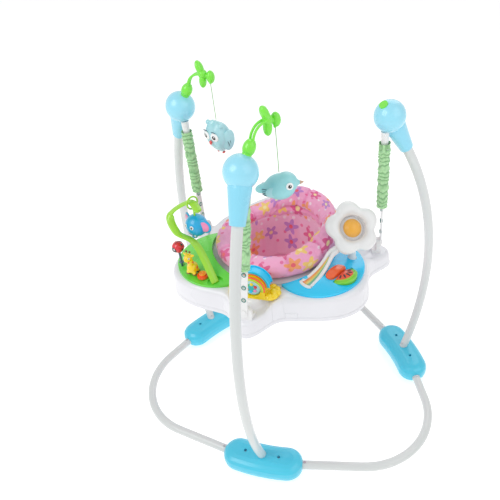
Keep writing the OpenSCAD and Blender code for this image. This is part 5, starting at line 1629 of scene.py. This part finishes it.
def addRamp():
    c = rampCut
    n, m = c["rows"], c["across"]
    across = [2 * j / m - 1 for j in range(m + 1)]
    rings, spots = [], {}
    for i in range(n + 1):
        top = [rampAt(i / n, x, c["deck"] - c["dish"] * (1 - x * x)) for x in across]
        ring = top + [rampAt(i / n, x, c["under"]) for x in reversed(across)]
        flat = [(i / n, 0.02 + 0.96 * j / m) for j in range(m + 1)]
        spots |= {tuple(round(x, 7) for x in p): uv for p, uv in zip(ring, flat + flat[::-1])}
        rings.append(ring)
    deck = loft("rampDeck", rings, "rainbow", capped=True)
    mapCloth(deck, [spots.get(tuple(round(x, 7) for x in v.co), (0, 0.5)) for v in deck.data.vertices])
    place = flowerPlace()
    made = [deck]
    for side, end in c["ends"]:
        path = [rampAt(k / c["railRows"], side) for k in range(c["railRows"] + 1)]
        after = path[-1] + (path[-1] - path[-2]).normalized() * c["lead"] * mm
        end = place @ at(*end)
        path += [after, after.lerp(end, 0.55), end]
        made.append(rounded(tube(f"rampRail{side}", path, railRadius, "white", 16)))
    half = [math.pi * k / c["railRows"] for k in range(c["railRows"] + 1)]
    lip = [rampAt(-0.004 - 0.06 * math.sin(a), math.cos(a)) for a in half]
    made.append(tube("rampLip", lip, c["rail"] * mm, "white", 16))
    dress(made, "tray", "ramp")


# the melon slice: flesh, pale band, rind and seeds, all on the sprung button
melonCut = {"along": 4, "out": 66, "r": 33, "base": 492.3, "top": 506, "crown": 60, "steps": 48,
            "shares": (0.0, 0.06, 0.3, 0.6, 0.94, 1.0), "back": 0.2, "edge": 0.8, "seeds": 5, "seedR": 16,
            "seedSize": (6.2, 1.9, 1.1),
            "bands": (("melonFlesh", 0.0, 23.8, "flesh", 0.0), ("melonPale", 23.8, 27.0, "arch", -0.3),
                      ("melonRind", 27.0, 33, "rind", 0.2))}


def melonTop(x, y):
    return math.sqrt(melonCut["crown"] ** 2 - x * x - (y + melonCut["r"] / 2) ** 2) - melonCut["crown"]


def addMelon():
    c = melonCut
    low = c["base"] - c["top"]
    place = placed(lobePoint(1, c["along"], c["out"], c["top"]), trayCut["playAz"][0] + 90)
    for name, r0, r1, look, lift in c["bands"]:
        rings = []
        for a in (-math.pi * i / c["steps"] for i in range(c["steps"] + 1)):
            line = []
            for share in c["shares"]:
                r = r0 + (r1 - r0) * share
                x, y = r * math.cos(a), r * math.sin(a)
                drop = c["edge"] if share in (0.0, 1.0) and r > 1 else 0
                line.append(at(x, y - c["back"], melonTop(x, y) + lift - drop))
            line += [at(r * math.cos(a), r * math.sin(a) - c["back"], low) for r in (r1, r0)]
            rings.append(line)
        dress([loft(name, rings, look, capped=True)], "melon_body", "melon_button", place)
    seeds = []
    for k in range(c["seeds"]):
        a = math.radians(-24 - 33 * k)
        x, y = c["seedR"] * math.cos(a), c["seedR"] * math.sin(a)
        turn = Matrix.Rotation(a, 3, "Z").to_quaternion()
        seeds.append(ball(f"melonSeed{k}", (x, y, melonTop(x, y) + 0.2), c["seedSize"], "black", turn, 20))
    dress(seeds, "melon_body", place=place)


# the front toy: petals at the base's ends, bands round the drum's window, a stepped arch
houseCut = {"r": 30, "deep": 42, "high": 10, "gap": 4, "flange": 151, "drumUp": 0.62, "petalAt": (35, 21),
            "petalR": 17, "petal": (8.5, 8.5, 7), "heart": (8, 9, 6), "beadR": 10.5,
            "bead": (3.9, 2.2, 3.9), "archWire": 1.7,
            "window": (("houseOrange", 29.3, 2.4, 2.0, "orange"), ("houseLime", 25.2, 1.9, 0.6, "arch")),
            "arch": ((38.2, "sky"), (34.6, "teal"), (31.6, "orange")), "archFaces": (10.6, 31.4),
            "drum": (("drumFace", 20, 4.2, "owl"), ("drumGlow", 15, 3.8, "teal")),
            "beads": ("red", "yellow", "green", "orange", "sky", "pink")}


def addHouse():
    c = houseCut
    drumUp = c["high"] + c["r"] * c["drumUp"]
    back = (c["flange"] + c["gap"] + c["deep"]) * mm
    place = Matrix.Translation(Vector((trayAxis.x, trayAxis.y - back, trayCut["top"] * mm)))

    def bow(r, y, first, last):  # an arc round the drum, a point every 4 degrees
        turn = [math.radians(4 * k) for k in range(first, last)]
        return [at(r * math.cos(a), y, drumUp + r * math.sin(a)) for a in turn]

    petals = []
    for side in (-1, 1):
        for k in range(5):
            a = math.radians(-80 + 40 * k)
            x, y = (p + c["petalR"] * q for p, q in zip(c["petalAt"], (math.cos(a), math.sin(a))))
            petals.append(ball(f"housePetal{side}{k}", (side * x, y, 7.5), c["petal"], "yellow"))
        petals.append(ball(f"houseHeart{side}", (side * 44, 20, 11), c["heart"], "yellow"))
    dress(petals, "tray", place=place)
    bands = [rounded(tube(name, bow(r, y, -4, 50), wire * mm, look, 16))
             for name, r, wire, y, look in c["window"]]
    for k, (r, look) in enumerate(c["arch"]):
        for y in c["archFaces"]:
            bands.append(tube(f"archBand{k}{int(y)}", bow(r, y, 0, 46), c["archWire"] * mm, look, 14))
    dress(bands, "tray", place=place)
    drum = [ball(name, (0, y, drumUp), (r, 2.2, r), look, None, 40) for name, r, y, look in c["drum"]]
    for k, look in enumerate(c["beads"]):
        a = math.radians(60 * k + 20)
        spot = (c["beadR"] * math.cos(a), 1.9, drumUp + c["beadR"] * math.sin(a))
        drum.append(ball(f"drumBead{k}", spot, c["bead"], look, None, 20))
    dress(drum, "drum_body", place=place)


# the knob: a raised coil on its top
coilCut = {"from": 1.6, "to": 9.2, "steps": 90, "turn": 0.17, "up": 0.2, "wire": 0.9}


def addKnob():
    c = coilCut
    middle = lobePoint(-1, *postCut["knob"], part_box("knob")[1].z / mm)
    path = []
    for k in range(c["steps"] + 1):
        r, a = c["from"] + (c["to"] - c["from"]) * k / c["steps"], c["turn"] * k
        path.append(middle + at(r * math.cos(a), r * math.sin(a), c["up"]))
    dress([tube("knobCoil", path, c["wire"] * mm, "amber", 10)], "knob_body")


addFlower()
addRamp()
addMelon()
addHouse()
addKnob()
print("stations dressed")
